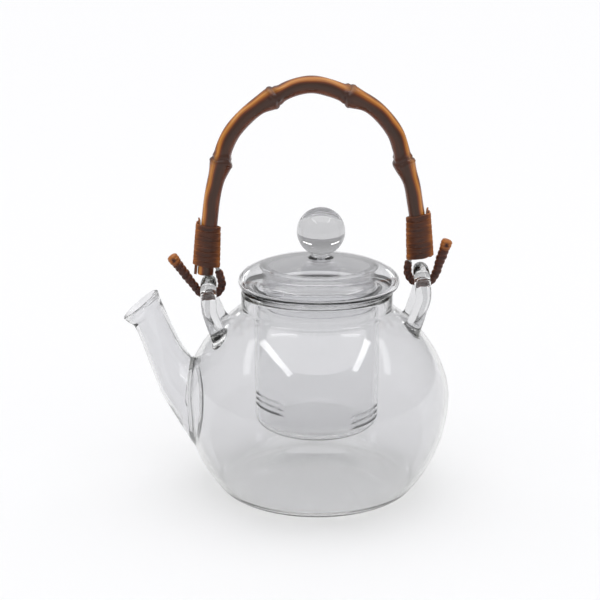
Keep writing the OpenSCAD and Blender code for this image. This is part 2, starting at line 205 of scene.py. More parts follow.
def cut(ob, cutters):
    """Boolean difference, applied."""
    for c in cutters:
        m = ob.modifiers.new("cut", "BOOLEAN")
        m.operation = "DIFFERENCE"
        m.solver = "EXACT"
        m.object = c
    bpy.context.view_layer.update()
    dg = bpy.context.evaluated_depsgraph_get()
    me = bpy.data.meshes.new_from_object(ob.evaluated_get(dg))
    old = ob.data
    ob.modifiers.clear()
    ob.data = me
    bpy.data.meshes.remove(old)
    for c in cutters:
        bpy.data.objects.remove(c)


def join_faces(ob, mat, off_surface):
    """Gives the walls inside a weld their own clear glass."""
    ob.data.materials.append(mat)
    for p in ob.data.polygons:
        if off_surface(p):
            p.material_index = 1


def lathe_normals(ob, prof, off=(0.0, 0.0), tol=0.06, sharp=math.radians(40)):
    """Gives a turned mesh with cuts in it the true normals of the turned surface, except on the cuts' own walls."""
    # normals of the outline, per vertex (averaged) and per segment
    n = len(prof)
    segs = []
    for i in range(n - 1):
        (r0, z0), (r1, z1) = prof[i], prof[i + 1]
        d = math.hypot(r1 - r0, z1 - z0)
        if d < 1e-6:
            continue
        segs.append(((r0, z0), (r1, z1), ((z1 - z0) / d, -(r1 - r0) / d), d))
    vn = {}
    for a, b, nn, d in segs:
        for p in (a, b):
            k = (round(p[0], 4), round(p[1], 4))
            v = vn.get(k, (0.0, 0.0))
            vn[k] = (v[0] + nn[0], v[1] + nn[1])
    me = ob.data
    import numpy as np
    A = np.array([s[0] for s in segs]); B = np.array([s[1] for s in segs])
    NA = np.array([vn[(round(s[0][0], 4), round(s[0][1], 4))] for s in segs], float)
    NB = np.array([vn[(round(s[1][0], 4), round(s[1][1], 4))] for s in segs], float)
    NA /= np.maximum(np.linalg.norm(NA, axis=1, keepdims=True), 1e-9)
    NB /= np.maximum(np.linalg.norm(NB, axis=1, keepdims=True), 1e-9)
    AB = B - A
    L2 = np.maximum((AB ** 2).sum(1), 1e-12)
    co = np.zeros(len(me.vertices) * 3)
    me.vertices.foreach_get("co", co)
    co = co.reshape(-1, 3) / MM
    vx = co[:, 0] - off[0]; vy = co[:, 1] - off[1]
    rr = np.hypot(vx, vy)
    vert_n = np.zeros((len(co), 3))
    ok = np.zeros(len(co), bool)
    for i in range(len(co)):
        P = np.array([rr[i], co[i, 2]])
        t = np.clip(((P - A) * AB).sum(1) / L2, 0, 1)
        C = A + AB * t[:, None]
        d = np.linalg.norm(P - C, axis=1)
        j = int(np.argmin(d))
        if d[j] < tol:
            nn = NA[j] * (1 - t[j]) + NB[j] * t[j]
            nn /= max(np.linalg.norm(nn), 1e-9)
            c, s_ = (vx[i] / rr[i], vy[i] / rr[i]) if rr[i] > 1e-6 else (0.0, 0.0)
            v = np.array([nn[0] * c, nn[0] * s_, nn[1]])
            vert_n[i] = v / max(np.linalg.norm(v), 1e-9)
            ok[i] = True
    me.polygons.foreach_set("use_smooth", [True] * len(me.polygons))
    me.set_sharp_from_angle(angle=sharp)
    own = np.zeros(len(me.loops) * 3)
    me.corner_normals.foreach_get("vector", own)
    own = own.reshape(-1, 3)
    loops = []
    for p in me.polygons:
        fn = np.array(p.normal)
        for li in range(p.loop_start, p.loop_start + p.loop_total):
            vi = me.loops[li].vertex_index
            v = vert_n[vi]
            s_ = float(v @ fn)
            if ok[vi] and abs(s_) > 0.8:
                loops.append(tuple(v if s_ > 0 else -v))
            else:
                loops.append(tuple(own[li]))
    me.normals_split_custom_set(loops)


# ------------------------------------------------------------------ materials
def mat_new(name):
    m = bpy.data.materials.new(name)
    m.use_nodes = True
    nt = m.node_tree
    nt.nodes.clear()
    return m, nt


def node(nt, kind, **kw):
    n = nt.nodes.new(kind)
    for k, v in kw.items():
        if k in n.inputs:
            n.inputs[k].default_value = v
        else:
            setattr(n, k, v)
    return n


def glass_mat(name, tint, ior=1.47, ripple=0.05, scale=22.0, shade=None, deep=40.0):
    """Clear hand-worked glass: slightly uneven surface, faint draw lines, lets lamps through."""
    m, nt = mat_new(name)
    out = node(nt, "ShaderNodeOutputMaterial")
    p = node(nt, "ShaderNodeBsdfPrincipled")
    p.inputs["Base Color"].default_value = (*tint, 1)
    p.inputs["Transmission Weight"].default_value = 1.0
    p.inputs["IOR"].default_value = ior
    p.inputs["Roughness"].default_value = 0.0
    tc = node(nt, "ShaderNodeTexCoord")
    mp = node(nt, "ShaderNodeMapping")
    mp.inputs["Scale"].default_value = (1, 1, 0.45)
    nz = node(nt, "ShaderNodeTexNoise")
    nz.inputs["Scale"].default_value = scale
    nz.inputs["Detail"].default_value = 1.5
    nz.inputs["Roughness"].default_value = 0.4
    bp = node(nt, "ShaderNodeBump")
    bp.inputs["Strength"].default_value = ripple
    bp.inputs["Distance"].default_value = 0.002
    L = nt.links.new
    L(tc.outputs["Object"], mp.inputs["Vector"])
    L(mp.outputs["Vector"], nz.inputs["Vector"])
    L(nz.outputs["Fac"], bp.inputs["Height"])
    L(bp.outputs["Normal"], p.inputs["Normal"])
    # faint smears left by handling: a little rougher in soft patches
    n2 = node(nt, "ShaderNodeTexNoise")
    n2.inputs["Scale"].default_value = 60.0
    n2.inputs["Detail"].default_value = 4.0
    r2 = node(nt, "ShaderNodeValToRGB")
    r2.color_ramp.elements[0].position = 0.55
    r2.color_ramp.elements[0].color = (0.0, 0.0, 0.0, 1)
    r2.color_ramp.elements[1].position = 0.8
    r2.color_ramp.elements[1].color = (0.045, 0.045, 0.045, 1)
    L(tc.outputs["Object"], n2.inputs["Vector"])
    L(n2.outputs["Fac"], r2.inputs["Fac"])
    L(r2.outputs["Color"], p.inputs["Roughness"])
    tr = node(nt, "ShaderNodeBsdfTransparent")
    sh = shade or tuple(c ** 0.5 for c in tint)
    tr.inputs["Color"].default_value = (*sh, 1)
    lp = node(nt, "ShaderNodeLightPath")
    mx = node(nt, "ShaderNodeMixShader")
    L(lp.outputs["Is Shadow Ray"], mx.inputs[0])
    L(p.outputs[0], mx.inputs[1])
    L(tr.outputs[0], mx.inputs[2])
    L(mx.outputs[0], out.inputs["Surface"])
    if deep:
        # the glass itself takes a little light, so long ways through it, at the edges, are darker
        va = node(nt, "ShaderNodeVolumeAbsorption")
        va.inputs["Color"].default_value = (0.55, 0.56, 0.50, 1)
        va.inputs["Density"].default_value = deep
        L(va.outputs[0], out.inputs["Volume"])
    return m


def bamboo_mat():
    """Stained, lacquered cane. Reads the point attributes: outer (the tone round the cane: stain, with painted light
    along its outer edge and painted shade on its two flat sides), along (mm along it), knot (1 at a node), fx and fy
    (round the cane)."""
    m, nt = mat_new("bamboo_lacquer")
    L = nt.links.new
    out = node(nt, "ShaderNodeOutputMaterial")
    p = node(nt, "ShaderNodeBsdfPrincipled")
    p.inputs["Coat Weight"].default_value = 0.4
    p.inputs["Coat Roughness"].default_value = 0.09
    p.inputs["Specular IOR Level"].default_value = 0.2
    # outer: the stain's tone round the cane, with painted light on the outer edge and painted shade on the flat sides
    outer = node(nt, "ShaderNodeAttribute", attribute_name="outer")
    along = node(nt, "ShaderNodeAttribute", attribute_name="along")
    knot = node(nt, "ShaderNodeAttribute", attribute_name="knot")
    fx = node(nt, "ShaderNodeAttribute", attribute_name="fx")
    fy = node(nt, "ShaderNodeAttribute", attribute_name="fy")
    comb = node(nt, "ShaderNodeCombineXYZ")
    L(fx.outputs["Fac"], comb.inputs[0])
    L(fy.outputs["Fac"], comb.inputs[1])
    L(along.outputs["Fac"], comb.inputs[2])
    # long fibres: noise stretched along the cane
    mp = node(nt, "ShaderNodeMapping")
    mp.inputs["Scale"].default_value = (9.0, 9.0, 0.035)
    L(comb.outputs[0], mp.inputs["Vector"])
    fib = node(nt, "ShaderNodeTexNoise")
    fib.inputs["Scale"].default_value = 1.0
    fib.inputs["Detail"].default_value = 5.0
    fib.inputs["Roughness"].default_value = 0.65
    L(mp.outputs[0], fib.inputs["Vector"])
    # blotches of stain
    mp2 = node(nt, "ShaderNodeMapping")
    mp2.inputs["Scale"].default_value = (1.1, 1.1, 0.05)
    L(comb.outputs[0], mp2.inputs["Vector"])
    blo = node(nt, "ShaderNodeTexNoise")
    blo.inputs["Scale"].default_value = 1.0
    blo.inputs["Detail"].default_value = 3.0
    L(mp2.outputs[0], blo.inputs["Vector"])
    # base by side: painted shade on the flat sides, painted light on the outer edge, over the stain
    add1 = node(nt, "ShaderNodeMath", operation="MULTIPLY_ADD")
    L(fib.outputs["Fac"], add1.inputs[0])
    add1.inputs[1].default_value = 0.36
    L(outer.outputs["Fac"], add1.inputs[2])
    add2 = node(nt, "ShaderNodeMath", operation="MULTIPLY_ADD")
    L(blo.outputs["Fac"], add2.inputs[0])
    add2.inputs[1].default_value = 0.36
    L(add1.outputs[0], add2.inputs[2])
    # the ramp climbs from dark stain to a painted highlight colour at its top, reached on the outer edge
    ramp = node(nt, "ShaderNodeValToRGB")
    cr = ramp.color_ramp
    cr.elements[0].position = 0.20
    cr.elements[0].color = (0.040, 0.016, 0.008, 1)
    cr.elements[1].position = 0.86
    cr.elements[1].color = (0.74, 0.34, 0.07, 1)
    for pos, col in ((0.30, (0.06, 0.02, 0.008, 1)), (0.42, (0.125, 0.029, 0.008, 1)), (0.55, (0.27, 0.075, 0.010, 1)),
                     (0.70, (0.50, 0.175, 0.022, 1))):
        e = cr.elements.new(pos)
        e.color = col
    sc = node(nt, "ShaderNodeMath", operation="MULTIPLY")
    sc.inputs[1].default_value = 1 / 1.7
    L(add2.outputs[0], sc.inputs[0])
    L(sc.outputs[0], ramp.inputs["Fac"])
    # darker at the nodes
    kr = node(nt, "ShaderNodeMath", operation="MULTIPLY", use_clamp=True)
    L(knot.outputs["Fac"], kr.inputs[0])
    kr.inputs[1].default_value = 0.72
    mixk = node(nt, "ShaderNodeMix", data_type="RGBA", blend_type="MIX")
    L(kr.outputs[0], mixk.inputs["Factor"])
    L(ramp.outputs["Color"], mixk.inputs["A"])
    mixk.inputs["B"].default_value = (0.050, 0.015, 0.008, 1)
    L(mixk.outputs["Result"], p.inputs["Base Color"])
    rr = node(nt, "ShaderNodeMapRange")
    L(fib.outputs["Fac"], rr.inputs["Value"])
    rr.inputs["To Min"].default_value = 0.42
    rr.inputs["To Max"].default_value = 0.24
    L(rr.outputs["Result"], p.inputs["Roughness"])
    bp = node(nt, "ShaderNodeBump")
    bp.inputs["Strength"].default_value = 0.35
    bp.inputs["Distance"].default_value = 0.0004
    L(fib.outputs["Fac"], bp.inputs["Height"])
    L(bp.outputs["Normal"], p.inputs["Normal"])
    L(p.outputs[0], out.inputs["Surface"])
    return m


def rattan_mat(name, dark, mid, light, coat=0.25, fibre=26.0):
    """Flat strip of rattan. Reads the attributes: across (-1..1 over the strip's width), run (mm along it), turn (one
    number a turn), and a fourth that lifts the tone: painted light on sides seen edge-on and on the tip bead's top,
    painted shade in the bead's eye, paler towards a splint's cut point.
    """
    m, nt = mat_new(name)
    L = nt.links.new
    out = node(nt, "ShaderNodeOutputMaterial")
    p = node(nt, "ShaderNodeBsdfPrincipled")
    p.inputs["Coat Weight"].default_value = coat
    p.inputs["Coat Roughness"].default_value = 0.2
    p.inputs["Specular IOR Level"].default_value = 0.2
    across = node(nt, "ShaderNodeAttribute", attribute_name="across")
    run = node(nt, "ShaderNodeAttribute", attribute_name="run")
    turn = node(nt, "ShaderNodeAttribute", attribute_name="turn")
    comb = node(nt, "ShaderNodeCombineXYZ")
    L(across.outputs["Fac"], comb.inputs[0])
    L(turn.outputs["Fac"], comb.inputs[1])
    L(run.outputs["Fac"], comb.inputs[2])
    mp = node(nt, "ShaderNodeMapping")
    mp.inputs["Scale"].default_value = (7.0, 3.7, 0.10)
    L(comb.outputs[0], mp.inputs["Vector"])
    fib = node(nt, "ShaderNodeTexNoise")
    fib.inputs["Scale"].default_value = 1.0
    fib.inputs["Detail"].default_value = 4.0
    fib.inputs["Roughness"].default_value = 0.6
    L(mp.outputs[0], fib.inputs["Vector"])
    mp2 = node(nt, "ShaderNodeMapping")
    mp2.inputs["Scale"].default_value = (0.4, 1.9, 0.12)
    L(comb.outputs[0], mp2.inputs["Vector"])
    blo = node(nt, "ShaderNodeTexNoise")
    blo.inputs["Scale"].default_value = 1.0
    blo.inputs["Detail"].default_value = 2.0
    L(mp2.outputs[0], blo.inputs["Vector"])
    # lighter towards the strip's two edges, where the stain is rubbed off, and with the fourth attribute: painted light
    # on the sides seen edge-on and on the tip bead's top, painted shade in the bead's eye, paler towards a splint's cut
    # point
    sq = node(nt, "ShaderNodeMath", operation="POWER")
    ab = node(nt, "ShaderNodeMath", operation="ABSOLUTE")
    L(across.outputs["Fac"], ab.inputs[0])
    L(ab.outputs[0], sq.inputs[0])
    sq.inputs[1].default_value = 3.0
    painted_light_and_pale_tip = node(nt, "ShaderNodeAttribute", attribute_name="painted_light_and_pale_tip")
    a1 = node(nt, "ShaderNodeMath", operation="MULTIPLY_ADD")
    L(sq.outputs[0], a1.inputs[0])
    a1.inputs[1].default_value = 0.30
    L(fib.outputs["Fac"], a1.inputs[2])
    a2 = node(nt, "ShaderNodeMath", operation="MULTIPLY_ADD")
    L(blo.outputs["Fac"], a2.inputs[0])
    a2.inputs[1].default_value = 0.55
    L(a1.outputs[0], a2.inputs[2])
    a3 = node(nt, "ShaderNodeMath", operation="MULTIPLY_ADD")
    L(painted_light_and_pale_tip.outputs["Fac"], a3.inputs[0])
    a3.inputs[1].default_value = 0.75
    L(a2.outputs[0], a3.inputs[2])
    sc = node(nt, "ShaderNodeMath", operation="MULTIPLY")
    sc.inputs[1].default_value = 0.5
    L(a3.outputs[0], sc.inputs[0])
    ramp = node(nt, "ShaderNodeValToRGB")
    cr = ramp.color_ramp
    cr.elements[0].position = 0.34
    cr.elements[0].color = (*dark, 1)
    cr.elements[1].position = 0.88
    cr.elements[1].color = (*light, 1)
    e = cr.elements.new(0.58)
    e.color = (*mid, 1)
    L(sc.outputs[0], ramp.inputs["Fac"])
    L(ramp.outputs["Color"], p.inputs["Base Color"])
    rr = node(nt, "ShaderNodeMapRange")
    L(fib.outputs["Fac"], rr.inputs["Value"])
    rr.inputs["To Min"].default_value = 0.62
    rr.inputs["To Max"].default_value = 0.38
    L(rr.outputs["Result"], p.inputs["Roughness"])
    bp = node(nt, "ShaderNodeBump")
    bp.inputs["Strength"].default_value = 0.5
    bp.inputs["Distance"].default_value = 0.0003
    L(fib.outputs["Fac"], bp.inputs["Height"])
    L(bp.outputs["Normal"], p.inputs["Normal"])
    L(p.outputs[0], out.inputs["Surface"])
    return m


def steel_mat():
    m, nt = mat_new("hook_steel")
    L = nt.links.new
    out = node(nt, "ShaderNodeOutputMaterial")
    p = node(nt, "ShaderNodeBsdfPrincipled")
    p.inputs["Base Color"].default_value = (0.42, 0.41, 0.40, 1)
    p.inputs["Metallic"].default_value = 1.0
    tc = node(nt, "ShaderNodeTexCoord")
    nz = node(nt, "ShaderNodeTexNoise")
    nz.inputs["Scale"].default_value = 900.0
    nz.inputs["Detail"].default_value = 3.0
    L(tc.outputs["Object"], nz.inputs["Vector"])
    rr = node(nt, "ShaderNodeMapRange")
    L(nz.outputs["Fac"], rr.inputs["Value"])
    rr.inputs["To Min"].default_value = 0.25
    rr.inputs["To Max"].default_value = 0.5
    L(rr.outputs["Result"], p.inputs["Roughness"])
    L(p.outputs[0], out.inputs["Surface"])
    return m


def floor_mat():
    m, nt = mat_new("floor_white")
    out = node(nt, "ShaderNodeOutputMaterial")
    p = node(nt, "ShaderNodeBsdfPrincipled")
    p.inputs["Base Color"].default_value = (0.93, 0.93, 0.935, 1)
    p.inputs["Roughness"].default_value = 0.9
    p.inputs["Specular IOR Level"].default_value = 0.1
    nt.links.new(p.outputs[0], out.inputs["Surface"])
    return m


def paint(ob, mat, slot, body, *nodes):
    ob.data.materials.clear()
    ob.data.materials.append(mat)
    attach(ob, body)
    if nodes:
        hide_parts(*nodes)


G_POT = glass_mat("glass_pot", (0.885, 0.885, 0.9), shade=(0.99, 0.99, 0.99), deep=45.0)
G_EAR = glass_mat("glass_ear", (0.80, 0.80, 0.81), ripple=0.05, scale=60.0, deep=10.0, shade=(0.97, 0.97, 0.97))
G_JOIN = glass_mat("glass_join", (0.99, 0.99, 0.99), shade=(1.0, 1.0, 1.0), ripple=0.02, deep=0)
G_INF = glass_mat("glass_infuser", (0.95, 0.95, 0.955), ripple=0.03, deep=20.0, shade=(0.99, 0.99, 0.99))
G_LID = glass_mat("glass_lid", (0.91, 0.91, 0.92), ripple=0.04, deep=8.0, shade=(0.98, 0.98, 0.98))
G_KNOB = glass_mat("glass_knob", (0.66, 0.66, 0.675), ripple=0.02, scale=80.0, deep=8.0, shade=(0.97, 0.97, 0.97))

# ------------------------------------------------------------------ bowl
def punt(r):
    return PUNT_H * max(0.0, math.cos(math.pi / 2 * r / FOOT_IN)) ** 1.5


prof = [(r, punt(r)) for r in [FOOT_IN * i / 30 for i in range(30)]]
prof += [(FOOT_IN, 0.0), (HEEL_X, 0.0)]
prof += arc(HEEL_X, HEEL_R, HEEL_R, -86, -48, 10)
prof += [(bowl_r(z), z) for z in [3.6 + (BELLY_Z - 3.6) * i / 40 for i in range(41)]]
prof += [(bowl_r(z), z) for z in [BELLY_Z + (NECK_ROOT - 1.2 - BELLY_Z) * math.sin(math.pi / 2 * i / 44) for i in range(1, 44)]]
prof += [(NECK_R + 0.95, NECK_ROOT - 0.7), (NECK_R + 0.45, NECK_ROOT), (NECK_R + 0.15, NECK_ROOT + 0.6), (NECK_R, NECK_ROOT + 1.6)]
prof += [(NECK_R, NECK_TOP - 2.6)]
prof += arc(NECK_R - 1.2, NECK_TOP - 1.2, 1.2, 0, 90, 8)
prof += arc(NECK_R - NECK_WALL + 1.2, NECK_TOP - 1.2, 1.2, 90, 180, 8)[1:]
prof += [(NECK_R - NECK_WALL, NECK_ROOT + 0.6), (NECK_R - NECK_WALL, NECK_ROOT - 0.4), (NECK_R - NECK_WALL + 0.5, NECK_ROOT - 1.6)]
prof += [(bowl_r(z, WALL), z) for z in [BELLY_Z + (NECK_ROOT - 2.9 - BELLY_Z) * math.sin(math.pi / 2 * i / 44) for i in range(43, -1, -1)]]
prof += [(bowl_r(z, WALL), z) for z in [4.6 + (BELLY_Z - 4.6) * i / 40 for i in range(39, -1, -1)]]
prof += arc(HEEL_X, HEEL_R, HEEL_R - 2.5, -46, -90, 8)
prof += [(FOOT_IN, 2.5)]
prof += [(r, punt(r) + 2.5) for r in [FOOT_IN * i / 30 for i in range(29, -1, -1)]]
bowl_prof = prof
bowl = lathe("bowl_glass", prof, n=192)
fix_normals(bowl)

ROOT_W, ROOT_Z, ROOT_H = 27.0, 45.2, 22.6


def oval_cutter(name, w, h, z0, x0, x1, n=96, y0=0.0):
    verts, faces = [], []
    for x in (x0, x1):
        verts += [(x, y0 + w * math.sin(TAU * k / n), z0 + h * math.cos(TAU * k / n)) for k in range(n)]
    for k in range(n):
        faces.append((k, (k + 1) % n, n + (k + 1) % n, n + k))
    faces.append(tuple(range(n - 1, -1, -1)))
    faces.append(tuple(range(n, 2 * n)))
    ob = new_obj(name, verts, faces, smooth=False)
    fix_normals(ob)
    return ob


cut(bowl, [oval_cutter("hole", ROOT_W - 3.2, ROOT_H - 3.2, ROOT_Z, -85, -45)])
# ------------------------------------------------------------------ spout
ROWS = [(-83, 105.6, -100.8, 91.2, 12.6), (-82.6, 104.2, -98.6, 89.4, 11.1), (-81.6, 101, -96.4, 88, 9.6),
        (-80, 97, -95, 86, 9), (-76.5, 88.5, -92.4, 79.5, 9.2), (-73, 80.8, -89.6, 71, 9.8),
        (-70.4, 75.6, -86.4, 61.5, 11.4), (-68.4, 72.2, -82, 50, 14.4), (-67.2, 70.2, -76, 40, 18.4),
        (-66.6, 68.8, -69.8, 30, 22.8)]
rows = catmull(ROWS, 8)
SN = 96


def spout_ring(row, t):
    u, l = Vector((row[0], 0, row[1])), Vector((row[2], 0, row[3]))
    c, h = (u + l) / 2, (u - l).length / 2
    d = (u - l).normalized()
    return [c + (h - t) * math.cos(TAU * k / SN) * d + (row[4] - t) * math.sin(TAU * k / SN) * Vector((0, 1, 0)) for k in range(SN)]


def root_ring(t, off=0.0):
    out = []
    for k in range(SN):
        y = (ROOT_W - t) * math.sin(TAU * k / SN)
        z = ROOT_Z + (ROOT_H - t) * math.cos(TAU * k / SN)
        out.append(Vector((-math.sqrt((bowl_r(z) + off) ** 2 - y * y), y, z)))
    return out


SW = 1.8
outer, inner = [], []
for i, row in enumerate(rows):
    wall = SW * (1 + 0.22 * math.exp(-(i / 5) ** 2) - 0.3 * math.exp(-((i - 14) / 8) ** 2))
    outer.append(spout_ring(row, 0.0))
    inner.append(spout_ring(row, wall))
# ease from the last section on to the bowl, with a small weld fillet outside
steps = 7
lastO, lastI = outer[-1], inner[-1]
endO, endI = root_ring(-0.9, 0.03), root_ring(3.5, 0.03)
for j in range(1, steps + 1):
    t = j / steps
    outer.append([a.lerp(b, t) for a, b in zip(lastO, endO)])
    inner.append([a.lerp(b, t) for a, b in zip(lastI, endI)])
# the root runs 1 mm into the bowl's wall, where the two are one glass
outer.append(root_ring(0.4, -1.0))
inner.append(root_ring(3.5, -1.0))
# rounded lip between outer[0] and inner[0]
lip = []
for j in range(1, 6):
    a = math.pi * j / 6
    ring = []
    for k in range(SN):
        o, i_ = outer[0][k], inner[0][k]
        mid = (o + i_) / 2
        e = (o - i_) / 2
        d = Vector(((outer[0][k] - outer[2][k]).x, 0, (outer[0][k] - outer[2][k]).z))
        d = (d - d.dot(e.normalized()) * e.normalized()).normalized()
        ring.append(mid + e * math.cos(a) + d * e.length * math.sin(a) * 0.9)
    lip.append(ring)
loop = outer[::-1] + lip + inner          # from the root, outside, over the lip, back inside
verts = [tuple(p) for ring in loop for p in ring]
faces = []
R = len(loop)
for i in range(R):
    j = (i + 1) % R                        # the last one closes on the root's end face
    for k in range(SN):
        a, b = i * SN + k, i * SN + (k + 1) % SN
        c, d = j * SN + (k + 1) % SN, j * SN + k
        faces.append((a, b, c, d))
spout = new_obj("spout_glass", verts, faces)
fix_normals(spout)
weld = bowl.modifiers.new("weld", "BOOLEAN")
weld.operation = "UNION"
weld.solver = "EXACT"
weld.object = spout
bpy.context.view_layer.update()
me = bpy.data.meshes.new_from_object(bowl.evaluated_get(bpy.context.evaluated_depsgraph_get()))
bowl.modifiers.clear()
bowl.data = me
bpy.data.objects.remove(spout)
bowl.name = "bowl_and_spout_glass"
lathe_normals(bowl, bowl_prof)
paint(bowl, G_POT, "glass_pot", "pot", "pot_bowl", "spout")

# ------------------------------------------------------------------ ears
LC, RC = Vector((-55.5, 0, 98.2)), Vector((54.6, 0, 105.1))
AX = (RC - LC).normalized()
UP = Vector((-AX.z, 0, AX.x))
ARCH, ROD = 12.0, 4.2


def seat(p, d, extra=0.0):
    lo, hi = -3.0, 40.0
    for _ in range(40):
        m = (lo + hi) / 2
        q = p + m * d
        if math.hypot(q.x, q.y) > bowl_r(q.z) + extra:
            lo = m
        else:
            hi = m
    return (lo + hi) / 2


def leg(top, foot, t):
    q = t ** 1.1
    return Vector((top.x + (foot.x - top.x) * q, top.y + (foot.y - top.y) * q, top.z + (foot.z - top.z) * t))


def make_ear(name, c, front, back):
    arch = [c + ARCH * (math.sin(math.radians(a)) * UP - math.cos(math.radians(a)) * Vector((0, 1, 0))) for a in range(0, 181, 4)]
    f = [leg(arch[0], Vector(front), t) for t in [1 - 0.08 * i for i in range(12)]]
    b = [leg(arch[-1], Vector(back), t) for t in [0.12 + 0.08 * i for i in range(12)]]
    line = even([tuple(p) for p in f + arch + b], 0.7)
    # smooth the joint between the arch and its legs
    pts = [Vector(p) for p in line]
    for _ in range(6):
        pts = [pts[0]] + [(pts[i - 1] + pts[i] * 2 + pts[i + 1]) / 4 for i in range(1, len(pts) - 1)] + [pts[-1]]
    n = 48
    fr = frames([tuple(p) for p in pts], tuple(AX))
    s = lengths([tuple(p) for p in pts])
    rings = []
    for i, (p, t, n1, n2) in enumerate(fr):
        e = min(s[i], s[-1] - s[i])
        r = ROD - 0.35 * math.exp(-((e - 8) / 6) ** 2)
        rings.append([p + r * (math.cos(TAU * k / n) * n1 + math.sin(TAU * k / n) * n2) for k in range(n)])

    def foot(ring, centre, d):
        """Runs a leg on to the shoulder, and spreads it there."""
        ends = [q + seat(q, d) * d for q in ring]
        mid = centre + seat(centre, d) * d
        out = []
        for u in (0.25, 0.45, 0.62, 0.76, 0.87, 0.95, 1.0):
            grow = 1 + 0.17 * u ** 3 + 0.10 * u ** 12
            row = []
            for q, e in zip(ring, ends):
                w = q.lerp(e, u)
                axis_pt = centre.lerp(mid, u)
                v = w - axis_pt
                along = v.dot(d) * d
                g = axis_pt + along + (v - along) * grow
                if u == 1.0:
                    g = g + seat(g, d, -0.15) * d
                row.append(g)
            out.append(row)
        return out, mid

    f0, m0 = foot(rings[0], fr[0][0], -fr[0][1])
    f1, m1 = foot(rings[-1], fr[-1][0], fr[-1][1])
    allr = f0[::-1] + rings + f1
    verts = [tuple(q) for ring in allr for q in ring]
    faces = []
    for i in range(len(allr) - 1):
        for k in range(n):
            a, b = i * n + k, i * n + (k + 1) % n
            faces.append((a, b, b + n, a + n))
    for i, m, flip in ((0, m0, True), (len(allr) - 1, m1, False)):
        c_ = len(verts)
        m = sum((Vector(q) for q in allr[i]), Vector((0, 0, 0))) / n
        m = m + seat(m, (fr[-1][1] if not flip else -fr[0][1]), -0.15) * (fr[-1][1] if not flip else -fr[0][1])
        verts.append(tuple(m))
        for k in range(n):
            a, b = i * n + k, i * n + (k + 1) % n
            faces.append((c_, b, a) if flip else (c_, a, b))
    ob = new_obj(name, verts, faces)
    fix_normals(ob)
    ob.data.set_sharp_from_angle(angle=math.radians(55))
    return ob


CAPS = 2 * 48
ear_l = make_ear("left_ear_glass", LC, (-52.2, -15.6, 90.6), (-53.4, 12.6, 92))
ear_r = make_ear("right_ear_glass", RC, (50.6, -12.3, 93), (51.3, 12.5, 92.5))
paint(ear_l, G_EAR, "glass_ear", "pot", "left_ear")
paint(ear_r, G_EAR, "glass_ear", "pot", "right_ear")
for ob in (ear_l, ear_r):
    first = len(ob.data.polygons) - CAPS
    join_faces(ob, G_JOIN, lambda p: p.index >= first)

# ------------------------------------------------------------------ infuser
INF_R, INF_W, INF_B, INF_C = 32.65, 2.0, 33.0, 7.0
INF_T, FL_T, FL_R = NECK_TOP + 0.05, 2.2, 39.3
prof = [(0.0, INF_B), (12.0, INF_B), (INF_R - INF_C, INF_B)]
prof += arc(INF_R - INF_C, INF_B + INF_C, INF_C, -84, 0, 14)
prof += [(INF_R, 60.0), (INF_R, INF_T - 2.2)]
prof += [(INF_R + 0.15, INF_T - 1.2), (INF_R + 0.5, INF_T - 0.5), (INF_R + 1.1, INF_T - 0.12), (INF_R + 1.9, INF_T)]
prof += arc(FL_R - FL_T / 2, INF_T + FL_T / 2, FL_T / 2, -90, 90, 12)
prof += [(INF_R - INF_W + 3.0, INF_T + FL_T)]
prof += arc(INF_R - INF_W + 2, INF_T + FL_T - 2, 2, 90, 180, 8)
prof += [(INF_R - INF_W, 60.0)]
prof += arc(INF_R - INF_C, INF_B + INF_C, INF_C - INF_W, 0, -84, 14)
prof += [(INF_R - INF_C, INF_B + INF_W), (12.0, INF_B + INF_W), (0.0, INF_B + INF_W)]
inf = lathe("infuser_glass", prof, n=160)
fix_normals(inf)


def saw(az, z):
    """A saw cut 1 mm high, 30 mm off the axis, facing az degrees."""
    c, s_ = math.cos(math.radians(az)), math.sin(math.radians(az))
    v = [(c * x - s_ * y, s_ * x + c * y, h) for x in (30, 40) for y in (-30, 30) for h in (z, z + 1)]
    f = [(0, 1, 3, 2), (4, 6, 7, 5), (0, 4, 5, 1), (2, 3, 7, 6), (0, 2, 6, 4), (1, 5, 7, 3)]
    ob = new_obj("slit", v, f, smooth=False)
    fix_normals(ob)
    return ob


slits = [saw(216, 46.5 + 3.0 * k) for k in range(3)] + [saw(324, 39.3 + 3.0 * k) for k in range(3)]
cut(inf, slits)
lathe_normals(inf, prof)
paint(inf, G_INF, "glass_infuser", "infuser", "infuser_cup")

# ------------------------------------------------------------------ lid
LID_R = 41.9
LID_Z0 = INF_T + FL_T + 0.05
LID_Z, DOME_H, LID_W = LID_Z0 + 3.3, 12.4, 2.2
LX = 1.0


def dome(r, d=0.0):
    return LID_Z + (DOME_H - d) * math.sqrt(max(0.0, 1 - (r / (LID_R - d)) ** 2))


